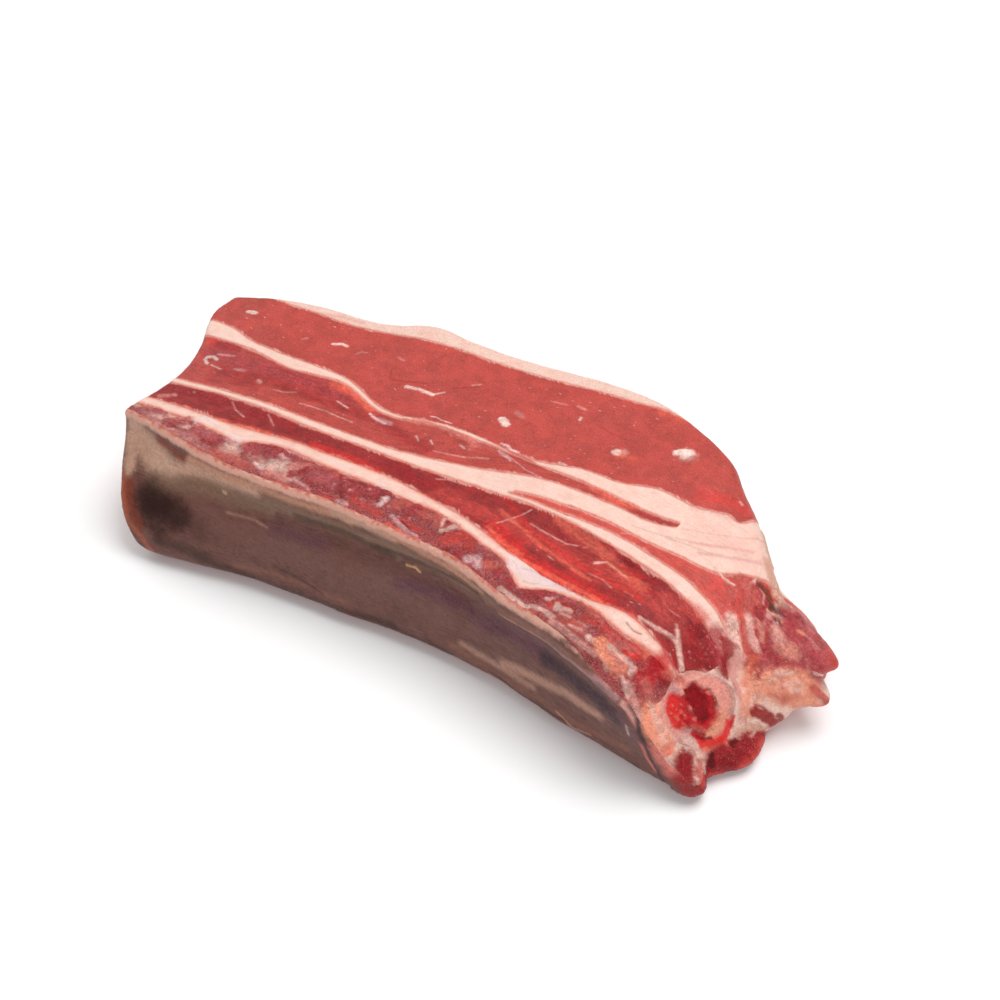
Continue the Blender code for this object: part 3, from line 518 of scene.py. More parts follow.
# Marks on the meat, by piece, one to a line: colour, strength, half width (below zero for
# separate spots) and height in mm, then the axes of its points and the points in mm. A line
# that starts with spaces goes on with the one before. Marks in the colour glint are painted
# highlights on the wet meat.
MARK_LINES = {
    # The small spots of pink, rose, salmon and coral are painted highlights on the wet cut meat.
    # The red_brown and dark_brown lines sunk into the crevice near the right end of the top cut
    # are painted shade there as well as darker meat. On the fat lump at the sawn end, the faint
    # pink_cream patches and spots are painted highlights and the faint brick lines sunk into it
    # are painted shadow, over the fat's own colour.
    "everywhere": """
peach 0.95 3.4 0.2 yz -44 31 -46 26 -45 21
pink_cream 0.6 1.7 0.3 yz -44 28 -45 23
pink 0.9 1.7 0.2 xyz 92 -44 38 96 -46 34 99 -48 31
pink_cream 0.8 0.7 0.2 xy 90.2 -44 93.8 -46.4
blood 0.9 0.5 -0.5 xz 101.6 23.4 103.8 20.6 106.2 18.9
salmon 0.9 2.4 0.3 xz 107 16 109 12 109 10
peach 0.8 1.4 0.2 xz 104 16 108 8
orange 0.6 1 0 yz -46 18 -43.9 17.6
rose 0.8 1.4 0 xz 102 18 103 13 106 10
bone_grey 0.95 2 0 yz -31 33 -25 32 -21 31 -20 27 -20 22
bone_grey 0.95 2 0 xyz 113 -21 27 114 -21 23 115 -23 21
bone_grey 0.9 1.7 0 xyz 104 -31 33 103 -38 32 104 -41 29 107 -41 25 109 -40 23
pink_cream 0.8 0.5 0.25 xyz 105 -27.4 32.8 106.6 -22.1 32.7 109.6 -18.8 30.8 113.1 -16.7 27.4 116.1
  -16.8 22.4 117.5 -18 18.7
rose_grey 0.85 1.4 0 yz -33 33 -36 32
apricot 0.95 2 0 yz -23 19 -26 17 -29 16
crimson 0.95 2.9 -0.2 yz -35 30 -37 28 -37 25
scarlet 0.95 1.7 0.2 yz -36 31 -38 29 -38 25
coral 0.9 -0.7 0.4 yz -35.5 27.7 -35 25.2 -37.9 27.2 -36.3 23.6
salmon 0.9 -0.4 0.4 yz -36.5 28.9 -35 26.2 -34.1 29.4 -36.8 30.3 -34.3 23.5 -37.9 26.4 -38.6 28.8
crimson 0.95 2 -0.3 yz -34 24 -29 20
brick 0.8 0.9 0.2 yz -34.2 21.5 -31.4 18.9
crimson 0.97 3.4 -0.8 yz -28 29 -27 22
crimson 0.97 1 -0.4 yz -23.8 28.1 -25 22.9
blood 0.97 2.6 -0.8 yz -28 29 -28 22
black_red 0.6 1.9 -0.3 yz -29 29 -29 27
black_red 0.6 1.5 -0.3 yz -28 24 -28 21
rose 0.7 -0.4 0.3 yz -29.1 28.6 -27 29.7 -25.2 28.3 -25.6 25.6 -28.8 30
crimson 0.97 1 -0.2 yz -36.2 20.8 -33 16.2
scarlet 0.97 1.5 0.2 yz -35 16 -32 14 -29 13 -26 13
blood 0.95 0.5 0 yz -33.9 18 -32.9 16.3 -29.8 15
scarlet 0.97 1.4 0.3 yz -22 16 -24 14 -27 13
crimson 0.9 0.9 0 xyz 118.3 -19.5 16.8 119.4 -21.8 14.6
orange 0.7 1.2 0 yz -34 13 -30 11 -26 11
pink_cream 0.95 1.7 0.5 yz -38 20 -37 17 -37 13
pink_cream 0.9 1 0.5 yz -37 13 -36.1 10.3 -37.6 8.3
pink 0.8 1.2 0.3 yz -41 21 -38 22 -36 21
rose_grey 0.85 1 0.1 xyz 112.3 -40.7 16.5 112.2 -44.1 14.7 110.8 -46.8 10.3
dark_crimson 0.99 4.1 1 xyz 114 -42 14 115 -45 10 117 -45 6
dark_crimson 0.97 2.7 0.5 xz 112 10 118 5
rust_red 0.8 1.7 0.2 yz -41 10 -41 8
rust_red 0.7 1 0.2 yz -37.3 11 -38.6 9.1
pink 0.8 0.6 0.2 xz 113.1 5.5 113.8 3
rose 0.8 -0.4 0.3 xyz 115.4 -44.5 11.2 116.5 -42.3 10.5 113.9 -44.3 12.8 116.9 -44.1 9.5 113.7 -46
  10.4 115.6 -40 12.2
dark_crimson 0.99 4.1 0.8 yz -32 8 -15 7
dark_crimson 0.95 2.7 0.5 yz -33 5 -29 3 -24 4
rust_red 0.8 2 0.3 yz -26 4 -21 5 -15 5
rust_red 0.7 1 0.2 yz -35.7 4.6 -31.5 3
black_red 0.9 0.9 -0.3 yz -34.2 8 -32.4 10.4
black_red 0.9 0.6 -0.3 yz -25.2 10.4 -23 10.7
pink 0.85 -0.4 0.4 xyz 120.3 -30.3 7.9 121.3 -28.6 7.6 122.6 -28 5.5 122.1 -30.2 4.4 121.7 -31.1
  4.3 122.8 -25.3 7.2 123.6 -22.6 7.7 123.9 -25.2 5.2 122.3 -29 5.3 124.7 -22.4 5.6 122.3 -24.7 8.4
  124.6 -23.4 5.1 120.6 -31.2 6.4 123.7 -27.8 3.7 124.7 -19.5 7.4 120.8 -32.8 4.2
dark_cream 0.9 0.9 0.2 yz -21.4 12.6 -13.2 10.4
dark_cream 0.9 0.9 0.2 xyz 124.3 -18.2 8.4 124.5 -14.5 9.4 127 -9 6.8
brick 0.7 2.7 0 xy 100 7 105 6 106 9
pink_cream 0.9 0.4 0.2 xy 90.8 10.7 94.7 9.3 97.4 9 99 9.6
pink 0.8 0.5 0.2 xy 103.7 15.3 103.2 12.3
rust_red 0.8 1 0 xy 102.6 3 102.6 10.5
dark_cream 0.95 2.2 0.2 xy 102 27 106 23 110 20
tan 0.8 1 0 xyz 107.5 23.5 35.1 110.6 20.8 34.5 112.9 19.5 33.3
wine 0.95 2 -0.2 xy 105 14 109 12 110 8
brick 0.8 2 0 xy 100 13 107 11
red_brown 0.95 1 -0.8 xy 104.6 16.4 107.6 16.8 110.5 15.6 111.7 12.6
pink 0.8 0.4 0.2 xy 105.5 15.3 107.6 15 108.9 12
dark_brown 0.8 0.9 -0.9 xy 111.3 14.1 114.9 15.2
dark_cream 0.95 0.7 0.4 xy 111.4 11.4 115.9 11.7 116.4 13.4
dark_cream 0.95 1.5 0.4 xy 113 18 115 20 118 21
red_brown 0.8 1 -0.5 xy 114.8 10.9 116.4 10.8
mauve 0.92 5.8 0.2 xy 120 17 130 9
wine 0.8 2 0 xy 117 16 121 12 122 9
wine 0.8 1.7 0 xyz 119 19 30 123 21 28 127 17 28
wine 0.85 2.7 0 xyz 122 1 28 132 6 21
wine 0.8 1.7 0 xyz 125 12 29 130 10 27 133 10 24
wine 0.95 1.5 -0.3 xy 114 8 116 3 119 -1
blush 0.97 2.4 0.6 xy 117 7 120 6 125 6
pink 0.7 1.2 0.2 xy 116 8 119 6 120 5
blush 0.8 1.2 0.3 xy 120 3 123 3 126 5
blush 0.95 1.1 0.5 xy 110.6 5.1 113.6 3.6 115.3 0.9
wine 0.9 0.5 -0.4 xy 112.4 2.3 114.2 0.3 117.1 -1.1
pink 0.95 1 0.4 xy 110.7 0.9 113.8 -0.7 115.8 -3.1
rose 0.68 0.4 0.2 xy 122.7 14.9 126.9 13.8 130.1 11.6
rose 0.68 0.4 0.2 xyz 127.6 7.5 27.4 130.8 6.9 23.8 131.8 6.5 21.6
rose 0.68 0.4 0.2 xy 121.8 19.5 125.4 17.4 127.1 17.1
peach 0.7 0.7 0.2 xy 122.3 13.5 123.8 13.9
rust 0.95 1.4 0.2 xyz 131 15 24 127 31 3
orange_brown 0.95 1.7 0.2 xyz 127 31 3 129 27 5
coral 0.97 1.1 -0.2 xyz 115.8 -3.8 30.8 116.3 -7.1 26.5 116.6 -10.6 22.9
wine 0.9 1 -0.3 xyz 118.1 -3.6 28.9 118.3 -8.5 22.8
red_brown 0.8 0.4 -0.5 xyz 116.6 -10.6 22.9 117 -12.7 21.5
pink_cream 0.95 2.4 0.3 xyz 104 -1 38 111 -8 32
pink 0.95 1.9 0.2 yz -8 31 -14 24
pink 0.9 1.7 0.2 yz -13 23 -17 14
rose 0.48 0.4 -0.2 xyz 111.4 -12.5 29.6 114.1 -8.4 26.9
brick 0.9 0.9 -0.2 xy 107.5 1.4 112.4 -4.9
wine 0.85 3.4 0 xyz 103 -9 37 110 -14 31
dark_crimson 0.85 1.7 0 yz -8 35 -11 32 -15 30
rose 0.85 -0.4 0.4 xyz 101.4 -7.8 38.7 101.9 -11.8 37.8 105.9 -14.7 34.7 101.9 -5.4 38.8 100.2
  -11.5 38.9 105.5 -12.2 35.5 105.7 -9.7 35.9 105.6 -7.1 36.5 108.4 -14.5 32.8 105.5 -17.2 34.5
  107.9 -9.8 33.6 110.8 -12.9 30.3 108.8 -17.5 32.1 110.7 -16.2 30.2 110.8 -11.6 30.3 102.5 -15.8
  36.9
apricot 0.97 5.4 0.5 yz -5 22 0 21 2 19
apricot 0.95 3.1 0.3 xyz 120 -8 21 120 -12 19 121 -14 16
apricot 0.95 2.7 0.2 yz -3 17 2 12
brick 0.5 0.5 -0.2 yz -2.2 23.3 -3.1 20.1 -5.1 16.3
pink_cream 0.7 1 0.2 yz -1.3 20.1 1 19.4
pink_cream 0.6 0.9 0.2 xyz 122.4 -3.3 25.1 124.1 -3.3 23.1
pink_cream 0.6 -0.9 0.3 xyz 121.9 -8.6 19.5 121.3 -11.4 17.9 125.9 -4.7 19.1 124.1 -7.9 17.8 128.9
  -3.7 14.3 128.4 1.3 22.2
dark_red 0.97 1.9 -0.2 yz -12 15 -10 12 -7 7
dark_red 0.9 1 -0.1 yz -6.5 11.9 -4.2 6.7
wine 0.8 0.5 -0.4 yz -11.1 16.6 -9.6 15.6 -8.7 12.9
black_red 0.95 0.7 -0.3 yz -0.8 8.6 1.6 9
coral 0.95 2 0.5 yz 6 11 7 8 6 7
brick 0.9 1.4 0.2 yz 5 18 7 12
glint 0.9 -0.4 0.3 xyz 131.5 3.7 19.7 109.5 4.4 36 115.8 10.4 33 120.8 -3.9 25.9
rust_red 0.7 2.7 0 xy 85 -11 91 -9 97 -8
pink_cream 0.77 0.8 0.2 xy 94.2 -18.3 97.2 -22.4 102.9 -28.4
crimson 0.8 2.9 0.5 xy 95 -40 97 -29
brick 0.8 1.2 0.2 xy 99 -33 103 -29
rose 0.8 -0.4 0.3 xyz 104.3 -16.6 35.5 105.6 -14.5 35 102.7 -21.3 35.7 106 -20.7 33.4 100.3 -20.6
  37.7 101.4 -15.6 37.6 106.5 -11.2 35 96.5 -32.1 38.4 97 -28.1 38.7 96.5 -35.5 37.7
pink_cream 0.85 1 0.3 xyz 121.2 -4.4 24.8 123.4 -1.7 25.7 126.6 1.4 24.2
pink_cream 0.59 0.7 0.2 yz -2.1 22 1 22.3 2 21.1
brick 0.5 1 -0.3 yz -5.9 19.4 -3.9 17.6 -1.3 18
pink_cream 0.64 0.9 0.2 xyz 120.5 -10.3 19.5 120.8 -12.5 17.3
pink_cream 0.7 0.9 0.2 yz -42.8 33 -43.9 28.6
salmon 0.6 0.9 0 yz -46.6 19.7 -44.8 20.3 -42.4 20.2
blood 0.95 2.9 0 yz -28 29 -27 26 -29 24
salmon 0.9 -0.7 0.2 yz -32.1 27.1 -23.5 27.4 -32.2 23.2
dark_crimson 0.95 2.4 0.2 xyz 114 -44 13 115 -46 11 118 -44 8
dark_crimson 0.9 1.7 0 xz 111 4 115 3
salmon 0.6 1.7 0 xy 96 -40 98 -41
""",
    "outer_muscle": """
cream 0.9 1 0.15 xy -124 19.8 -121.2 20.8
rust 0.35 4.1 0 xy -127 27
pink 0.55 0.4 0 xy -96.5 19.6 -95.6 21.6
cream 0.72 0.7 0.15 xy -85.6 24.7 -82.8 26.8 -80.3 26.6
pink 0.55 0.4 0 xy -74.2 25.1 -73.4 27 -71.3 27.8
cream 0.72 0.7 0.15 xy -48.1 21.9 -42.5 23.4 -37.1 23.7
cream 0.56 0.4 0 xy -37.1 23.7 -34 26.9
pink 0.5 0.4 0 xy -60 32.3 -57 31.9
pink 0.6 0.4 0 xy -27.6 35.5 -25.3 37.6
cream 0.95 1.6 0.2 xy -7 26 -5 25
dark_red 0.6 0.3 -0.12 xy -57.9 25.4 -55.5 21.6 -49.5 24 -43 27.5
dark_red 0.5 0.3 -0.1 xy -32.3 30.5 -24.2 36.9
pink_cream 0.7 1.7 0 xy 36 39
cream 0.95 1.6 0.2 xy 34 38
orange 0.5 1.7 0 xy 36 38 41 37
pink_cream 0.6 2.7 0 xy 56 50
cream 0.95 1.6 0.2 xy 52 49 54 51
cream 0.9 1.4 0.1 xy 55 49 56 52
cream 0.64 0.5 0 xy 14.1 44.1 13.9 45.3
pink 0.6 0.5 0 xy 9.6 49.6 12.7 49.9
pink 0.45 1 0 xy -5.1 32.3 -2.8 31.7
pink 0.5 0.3 0 xy 0.5 45.2 6.3 47.6
dark_red 0.4 0.3 -0.1 xy 18.4 46.5 26.9 45.6 33.3 45.7
orange 0.35 2 0 xy 37 65 45 66
glint 0.76 0.3 0.15 xy -30 13.6 -27.9 14.2 -25.3 13.8 -21.2 14.2
glint 0.72 0.5 0.15 xy -0.9 16.7 1.2 17.1 3.7 16.3 6.5 16.6
glint 0.56 0.5 0.1 xy 21.4 20.7 23.6 21.2
glint 0.56 0.5 0.1 xy 81.5 43.1 82.8 42.3
scarlet 0.33 2.4 0 xy 70 37 77 40 85 41
""",
    "middle_muscle": """
wine 0.75 4.1 0 xy -119 -5 -85 -1 -60 4
dark_red 0.6 2.4 0 xy -111 -11 -76 -5 -44 2
dark_crimson 0.7 2 0 xy -121 0 -113 1
scarlet 0.45 2 0 xy -124 -1 -124 4
orange 0.7 1.2 0 xy -126 4 -125 7
silver_pink 0.6 0.5 0.12 xy -116.9 -5 -111 -2.8
silver_pink 0.48 0.6 0.1 xy -105.1 -8.4 -101.3 -7.3
cream 0.76 0.7 0.3 xy -117.2 -10.9 -119.3 -9.8 -119.6 -8.1 -117.4 -7 -115.3 -7.6
cream 0.64 0.3 0.1 xy -115.1 -10.9 -109.9 -11
dark_red 0.5 3.1 0 xy -110 -15 -92 -12
pink 0.7 0.8 0.1 xy -92.7 -9 -91.4 -9.5
pink 0.6 0.3 0.1 xy -84.5 -9.8 -80.7 -8.9 -77 -5.8
pink 0.8 0.3 0.12 xy -72.3 -9.5 -62.7 -6.8 -51.3 -5.4
orange 0.65 1.7 0 xy -69 6 -64 7 -60 7 -51 5
dark_crimson 0.5 2.4 0 xy -40 1 -29 -1 -21 -1
glint 0.72 0.3 0.12 xy -62.8 0.1 -57.4 -0.4
glint 0.76 0.5 0.15 xy -49.3 2.4 -45.6 1.5 -41.2 1.4
silver_pink 0.6 1 0.1 xy -45 1.9 -40.2 2.5
glint 0.64 0.3 0.15 xy -28.2 2.5 -25.9 1
glint 0.64 0.3 0.15 xy -22.5 3.5 -20.5 2.2
glint 0.56 0.3 0.1 xy -11.8 6.8 -9.4 6.4
salmon 0.8 1.3 0.55 xy -37 8 -22 11 -17 10 -8 10
salmon 0.55 1.2 0.3 xy -8 7 -4 12 1 12
pink 0.6 0.3 0.1 xy -18.3 -0.2 -8.6 3.3 0.8 7.1
glint 0.64 0.4 0.12 xy 2.1 11.2 7.8 10.1
silver_pink 0.56 0.3 0.12 xy 1.8 12.1 14.9 9.4 21.5 9.2
orange 0.55 1.4 0 xy 38 17 48 16 54 18
dark_crimson 0.5 1.4 0 xy 55 16 68 19
pink 0.5 0.3 0.1 xyz 27.6 19.1 45.5 36.2 17.8 45.5 38.8 15.8 45.6
""",
    # The dark_brown line sunk into the crevice near the right end of the top cut is painted shade
    # there as well as darker meat.
    "wedge_muscle": """
pink 0.5 0.3 0.1 xy 57.3 4.9 60.9 7.8 67.2 8.4
pink 0.5 0.3 0.1 xy 64 2.1 73.3 1.7
pink 0.5 0.4 0.1 xy 67.2 3.9 78.2 -0.3
dark_crimson 0.75 4.8 0.6 xy 92 16 98 17
cream 0.64 0.4 0.2 xy 95.4 24.1 98.8 24.5 101.5 22.4 103.2 17.2 102.6 14.1
scarlet 0.33 2.7 0 xy 95 5 102 6
mauve 0.85 4.4 0.3 xy 107 12 113 11 119 -1
mauve 0.85 6.8 0.5 xyz 118 14 31 123 15 29 130 7 24
mauve 0.8 4.1 0.2 xyz 112 4 34 119 -2 29 127 2 24
pink_cream 0.85 2.2 0.5 xy 115 7 124 5
pink_cream 0.6 1 0.3 xy 112.1 9.9 115.4 7.3
pink 0.6 0.4 0.2 xy 118.5 19.7 123.6 18 127.2 14.5
brown 0.8 2.4 0.3 xyz 130 14 27 126 31 3 133 13 20
tan 0.9 1.4 0.3 yz 37 39 32 39 29 37
tan 0.9 1.5 0.3 xyz 102 27 38 106 24 36 111 21 35 114 19 33
tan 0.7 1 0.2 xyz 111.9 16 34.3 114.7 20.5 31 119.4 21.2 29.1
dark_brown 0.5 0.9 -0.5 xy 104.2 17.1 109.1 14.9 112.8 14.6 115.8 12.3
dark_crimson 0.6 1.4 0 xy 109 14 110 10
pink_cream 0.75 1.4 0.3 xy 108 4 111 0 115 -2
rust 0.8 1.7 -0.3 xyz 116 -4 30 115 -8 26 116 -11 23
glint 0.64 0.3 0.1 yz 3.2 21.3 3.6 20.8
cream 0.56 0.4 0.2 xy 104 14.6 106.1 14 108.1 12.2
cream 0.48 0.7 0.2 xy 110.8 15.6 114.5 14.5 115.2 10.3
""",
    "branching_fat_seam": """
rust 0.75 0.4 -0.2 xy 15.6 -1.6 24.7 0.1 32.8 0.4 38.7 0
dark_cream 0.5 0.3 -0.12 xy 58.5 10.6 69.3 12.9 84 18.2
dark_cream 0.6 0.3 -0.15 xy 72.6 19.6 83 23.2 91.1 27.9 96.2 33.2
dark_cream 0.6 0.3 -0.15 xy 70.1 12.7 86.9 15.3
pink 0.5 1.7 0 xyz 70 31 44 76 33 44 83 34 44
glint 0.56 0.4 0.15 xyz 75.5 31.4 44.1 76.1 33.3 43.9
pink 0.6 1.2 0 xyz 105 -4 37 110 -8 33 112 -9 29
dark_cream 0.5 0.3 -0.2 yz -7 34.8 -9.9 29.6 -14.5 27
tan 0.85 1.4 0.3 yz 37 39 32 39 29 37
tan 0.8 1.7 0.3 xyz 102 27 38 106 24 36 111 21 35 114 19 33
salmon 0.8 1.2 0 xy -37 10 -22 9 -7 10 2 12
brick 0.85 1.9 0 xyz -21 16 45 13 15 46
coral 0.75 0.7 0 xy -25.6 7.3 -8.2 7.9 8.6 11.7
pink_cream 0.6 4.8 0 xy 78 23 98 23
pink 0.6 0.7 0 xy 78.1 15.4 87.4 19.3 96.5 25.2
rose_grey 0.6 0.7 0 xy 83.3 13.2 92.6 17.2 100.9 23.2
""",
    "inner_fat_seam": """
dark_cream 0.6 0.3 -0.15 xyz -113.8 -37.8 44.1 -111 -35.1 44.3 -107 -36.4 44.7
silver 0.6 1.2 0 xy -97 -38 -95 -35 -91 -35
silver 0.6 1.2 0 xy -82 -37 -79 -36 -77 -37
silver 0.7 1.2 0 xy -61 -32 -57 -33
silver 0.5 1.2 0 xyz -23 -25 45 -18 -26 45
silver 0.85 3.4 -0.2 xy 37 -27 49 -27
silver 0.7 2 0 xy 51 -27 59 -27
grey_blue 0.55 0.3 -0.12 xy 39.5 -27.4 43.3 -26.2 47.4 -26.2
grey_blue 0.55 0.3 -0.12 xy 43 -31.6 45.8 -31.2 48 -29.2
cream 0.56 0.7 0.15 xy 28.8 -25.6 34.9 -26 48.6 -23.5
rust 0.7 0.3 -0.3 xy 80.7 -27.7 83.7 -28.6 86.3 -28
cream 0.68 0.8 0.2 xy 82.9 -23.2 89 -22.5 94.1 -21.4 97.5 -22.1 101.5 -26.5
""",
    "inner_muscle": """
rust_red 0.7 3.4 0 xy -4 -15 29 -14 62 -16 88 -14
rust_red 0.5 2.4 0 xy 45 -13 77 -14 98 -17
scarlet 0.62 2.6 0 xy 24 -22 37 -24 46 -24
scarlet 0.62 2.6 0 xy 46 -24 65 -24 74 -26 80 -26
scarlet 0.62 2.7 0 xy 21 -18 33 -21
orange 0.7 0.9 0 xy 19.8 -18.9 26.5 -21.9 35.5 -23
orange 0.7 0.9 0 xyz 26.8 -24.3 44.7 37.5 -24.5 44.2 57.6 -24.9 45.1
orange 0.7 0.9 0 xy 57.6 -24.9 66.8 -25.2 75.2 -27.5 79.7 -25.4
orange 0.7 1.2 0 xy -53 -25 -47 -25 -40 -23
orange 0.7 1.2 0 xy -35 -23 -24 -21 -22 -21
scarlet 0.45 1.7 0 xyz -54 -23 46 -27 -20 45
orange 0.75 1.2 0 xy -106 -35 -100 -36 -87 -32
orange 0.6 1 0 xyz -83.2 -30.9 44.9 -77.2 -29.1 44.8 -70.6 -27.8 44.8
orange 0.6 1 0 xy -66.4 -26.8 -48.5 -25.8
dark_crimson 0.7 2.7 0 xy -116 -27 -96 -25
dark_crimson 0.6 2.4 0 xy -89 -23 -65 -21
pink 0.75 0.3 0.1 xy -93 -23.1 -88.8 -25.7 -84.1 -26.7
pink 0.75 0.3 0.1 xy -77.5 -20.7 -72.5 -23.8
pink 0.8 0.4 0.1 xy -109.2 -26.3 -108.8 -26.5
pink 0.7 0.7 0.1 xy -114.7 -31.1 -113.9 -31.2
pink 0.5 0.9 0.1 xy -118.8 -34.4 -116.2 -32.8
pink 0.7 0.3 0.1 xy -9.3 -10.4 -5.5 -8.1 0.7 -6.7
dark_crimson 0.6 2.4 0 xy -19 -15 -13 -15 -8 -13
dark_crimson 0.6 2.4 0 xy -26 -15 -19 -15
pink 0.8 0.3 0.12 xy 20.9 -16 25.9 -8.7 27.3 -4.8
pink 0.7 0.3 0.12 xy 23.6 -12.7 26.8 -12.7
pink 0.85 0.3 0.15 xy 30.7 -10.2 35 -10.7 45.7 -10.5 49.1 -9
pink 0.7 0.3 0.12 xy 43.4 -18.2 46 -18.7
pink 0.6 0.3 0.12 xy 51.1 -8.5 53.1 -6.2 56.9 -5.8
pink_cream 0.8 0.5 0.2 xy 58 -12 61.2 -9.3 70.2 -11.5
scarlet 0.52 1.5 0 xy 65 -7 73 -8
blood 0.8 0.5 -0.6 xy 74.8 -8.6 77.3 -5.7
pink 0.6 0.3 0.12 xy 59.4 -17.1 64.3 -17 68.7 -18.4
pink 0.6 0.3 0.12 xy 73 -17.4 76.5 -17.5
pink 0.5 0.3 0.1 xy 83.4 -11.2 87.9 -13.7 92 -13.4
dark_crimson 0.6 3.4 0 xy 42 -4 58 -4
dark_crimson 0.55 3.7 0 xy 79 -10 90 -10
pink_cream 0.72 0.8 0.2 xy 82.9 -23.2 89 -22.5 94.1 -21.4 97.5 -22.1 101.5 -26.5
pink_cream 0.59 0.4 0.2 xy 92.8 -16.6 95.5 -19.7
dark_crimson 0.85 3.4 -0.1 xyz 98 -13 40 103 -9 38 110 -14 31
dark_crimson 0.7 3.1 0 xy 100 -20 105 -18
coral 0.7 2.4 0 xy 38 -3 56 -6 76 -12
scarlet 0.39 1 0 xy 15.9 -4.3 32.2 -12.5 54.5 -15.6 79 -17.2
orange 0.6 0.7 0 xy 18.2 -10.4 38.7 -16 61.1 -19.4
""",
    # The small rose_grey spots along the lumps are painted highlights on the wet lumps, and the
    # thin dark lines sunk between the lumps are painted shade in the creases as well as darker
    # meat.
    "intercostal_muscle": """
pink_cream 0.9 3.4 0 xy -120 -41 -107 -43 -96 -40 -81 -39
pink_cream 0.9 3.7 0 xy -79 -41 -67 -39 -51 -40
rose 0.8 1.7 0 xy -113 -46 -103 -47 -92 -46 -83 -45
brick 0.8 2.4 0.2 xy -82 -46 -74 -44 -66 -43
brick 0.8 2 0.2 xyz -54 -46 45 -46 -44 44 -38 -44 45
brick 0.9 1.2 0.9 xyz -121 -42 42 -117 -41 43 -111 -41 45
mauve 0.9 1.4 0.8 xy -118 -44 -109 -42
pink 0.8 0.9 0.2 xy -107.2 -46.9 -104 -47.5 -100.5 -46.1
brick 0.95 1.9 1.2 xyz -105 -45 45 -99 -39 44
mauve 0.9 1.2 0.4 xy -104 -46 -98 -40
mauve 0.95 3.1 1.5 xy -93 -42 -83 -40
brick 0.8 0.9 0.2 xy -95.8 -40.2 -91 -37.8 -84.4 -37.4
wine 0.8 1.5 0.2 xy -90 -44 -84 -43 -82 -41
rose 0.8 1.4 0.3 xy -100 -47 -96 -46 -90 -45
wine 0.7 0.5 -0.4 xy -102.9 -46.5 -99.7 -44.1 -95.2 -43
rose_grey 0.9 1.2 0.2 xy -99 -38 -94 -38
rose_grey 0.9 1.4 0.2 xyz -82 -38 45 -79 -39 45
wine 0.95 3.6 1.8 xy -71 -38 -62 -35
brick 0.9 1 0.2 xy -74.7 -38.2 -73.7 -34.5 -69.8 -32.1 -64.9 -31.5
pink_cream 0.77 0.5 0.2 xy -77.5 -39.9 -77.1 -37.5 -75.6 -35.4
rose_grey 0.9 0.9 0.1 xy -59.4 -34.6 -56.2 -34.6 -56.8 -36.8
glint 0.72 0.7 0.2 xy -65.2 -41.8 -61.6 -42.7
pink_cream 0.95 2.6 0.9 xy -58 -40 -52 -37
salmon 0.7 1.4 0.2 xy -59 -44 -55 -43 -51 -41
salmon 0.85 2 1.2 xy -52 -37 -47 -34
wine 0.9 1.4 0.1 xy -50 -40 -47 -37 -46 -35
wine 0.95 3.7 1.8 xy -42 -36 -35 -34
brick 0.9 1 0.2 xy -45.7 -34 -43.2 -30.8 -38.1 -30
rose_grey 0.8 0.7 0.2 xy -47.4 -41 -43.4 -41.3 -40.2 -42
pink_cream 0.77 0.7 0.2 xz -36.1 44.7 -32.8 45.2
rust_red 0.9 0.9 0.2 xyz -36.4 -42 45.1 -30 -40.5 46
mauve 0.95 3.4 1.7 xy -40 -36 -35 -35
brick 0.8 0.9 0.2 xy -42.1 -31.5 -39.1 -30.5 -35.6 -31.6
wine 0.95 3.2 1.6 xy -31 -33 -26 -31
brick 0.8 0.7 0.2 xy -33.4 -31.2 -30.8 -29.1 -27.1 -28.2
wine 0.95 2.7 1.3 xy -23 -30 -18 -28
dark_red 0.9 0.5 -0.5 xy -34.8 -31 -32.2 -35 -29.3 -37.7
rose_grey 0.9 1.1 0.3 xy -28.8 -39.8 -26 -39.4
rust_red 0.8 1.4 0 xy -25 -36 -20 -36 -14 -36
glint 0.8 1 0.3 xy -16.7 -32.6 -16.7 -30.4 -15.9 -29
brick 0.9 2.7 1.2 xy -12 -29 -10 -27 -7 -27
wine 0.95 2.6 1 xy -6 -29 -4 -25 -1 -23
brick 0.8 2.4 1.2 xy -1 -27 2 -26 5 -27
rust_red 0.9 1.4 0 xy -7 -34 1 -34
orange 0.8 1 0.2 xyz -8.6 -38.2 44.9 -0.8 -38.8 44.7 6.1 -37 43.4 10.3 -36.1 43.8
silver_pink 0.76 1 0.5 xy -9.8 -34.3 -2.9 -36.1 2.4 -36.8
dark_red 0.9 0.4 -0.5 xy -6.3 -33.7 -0.1 -35.9 3.4 -35.7
dark_red 0.8 1 0.4 xy 6.5 -25.7 8.4 -23.5
pink_cream 0.81 0.6 0.4 xy 9.4 -22.4 6 -22.8 5.5 -25.2 6.7 -28
pink_cream 0.81 1 0.5 xy 11.2 -22.4 8.1 -29.8
rust_red 0.95 3.4 1.7 xy 13 -32 15 -29 19 -29
wine 0.9 2 0.6 xy 16 -36 20 -35
mauve 0.9 2.2 1.2 xyz 24 -29 44 32 -29 44
silver_pink 0.9 1.7 0.3 xy 23 -35 25 -33 27 -35
brick 0.95 1.7 0.6 xy 29 -33 32 -32
dark_brown 0.8 0.3 -0.4 xyz -25.2 -41.3 44.3 -21.7 -40.2 44.2
wine 0.95 2 0.9 xy 35 -33 41 -35
brick 0.8 1.4 0.4 xy 33 -29 36 -31
wine 0.95 2.2 1 xy 46 -36 54 -32
mauve 0.95 2.4 1.2 xyz 57 -32 45 60 -30 45 64 -30 45
brick 0.9 1.9 0.8 xy 66 -30 73 -32
rust_red 0.9 1 -0.2 xy 55.7 -35.5 58.1 -33.6 63.5 -33.7
pink_cream 0.95 1.4 0.4 xy 59 -35 63 -35
brick 0.9 2.4 0.5 xy 63 -38 70 -39
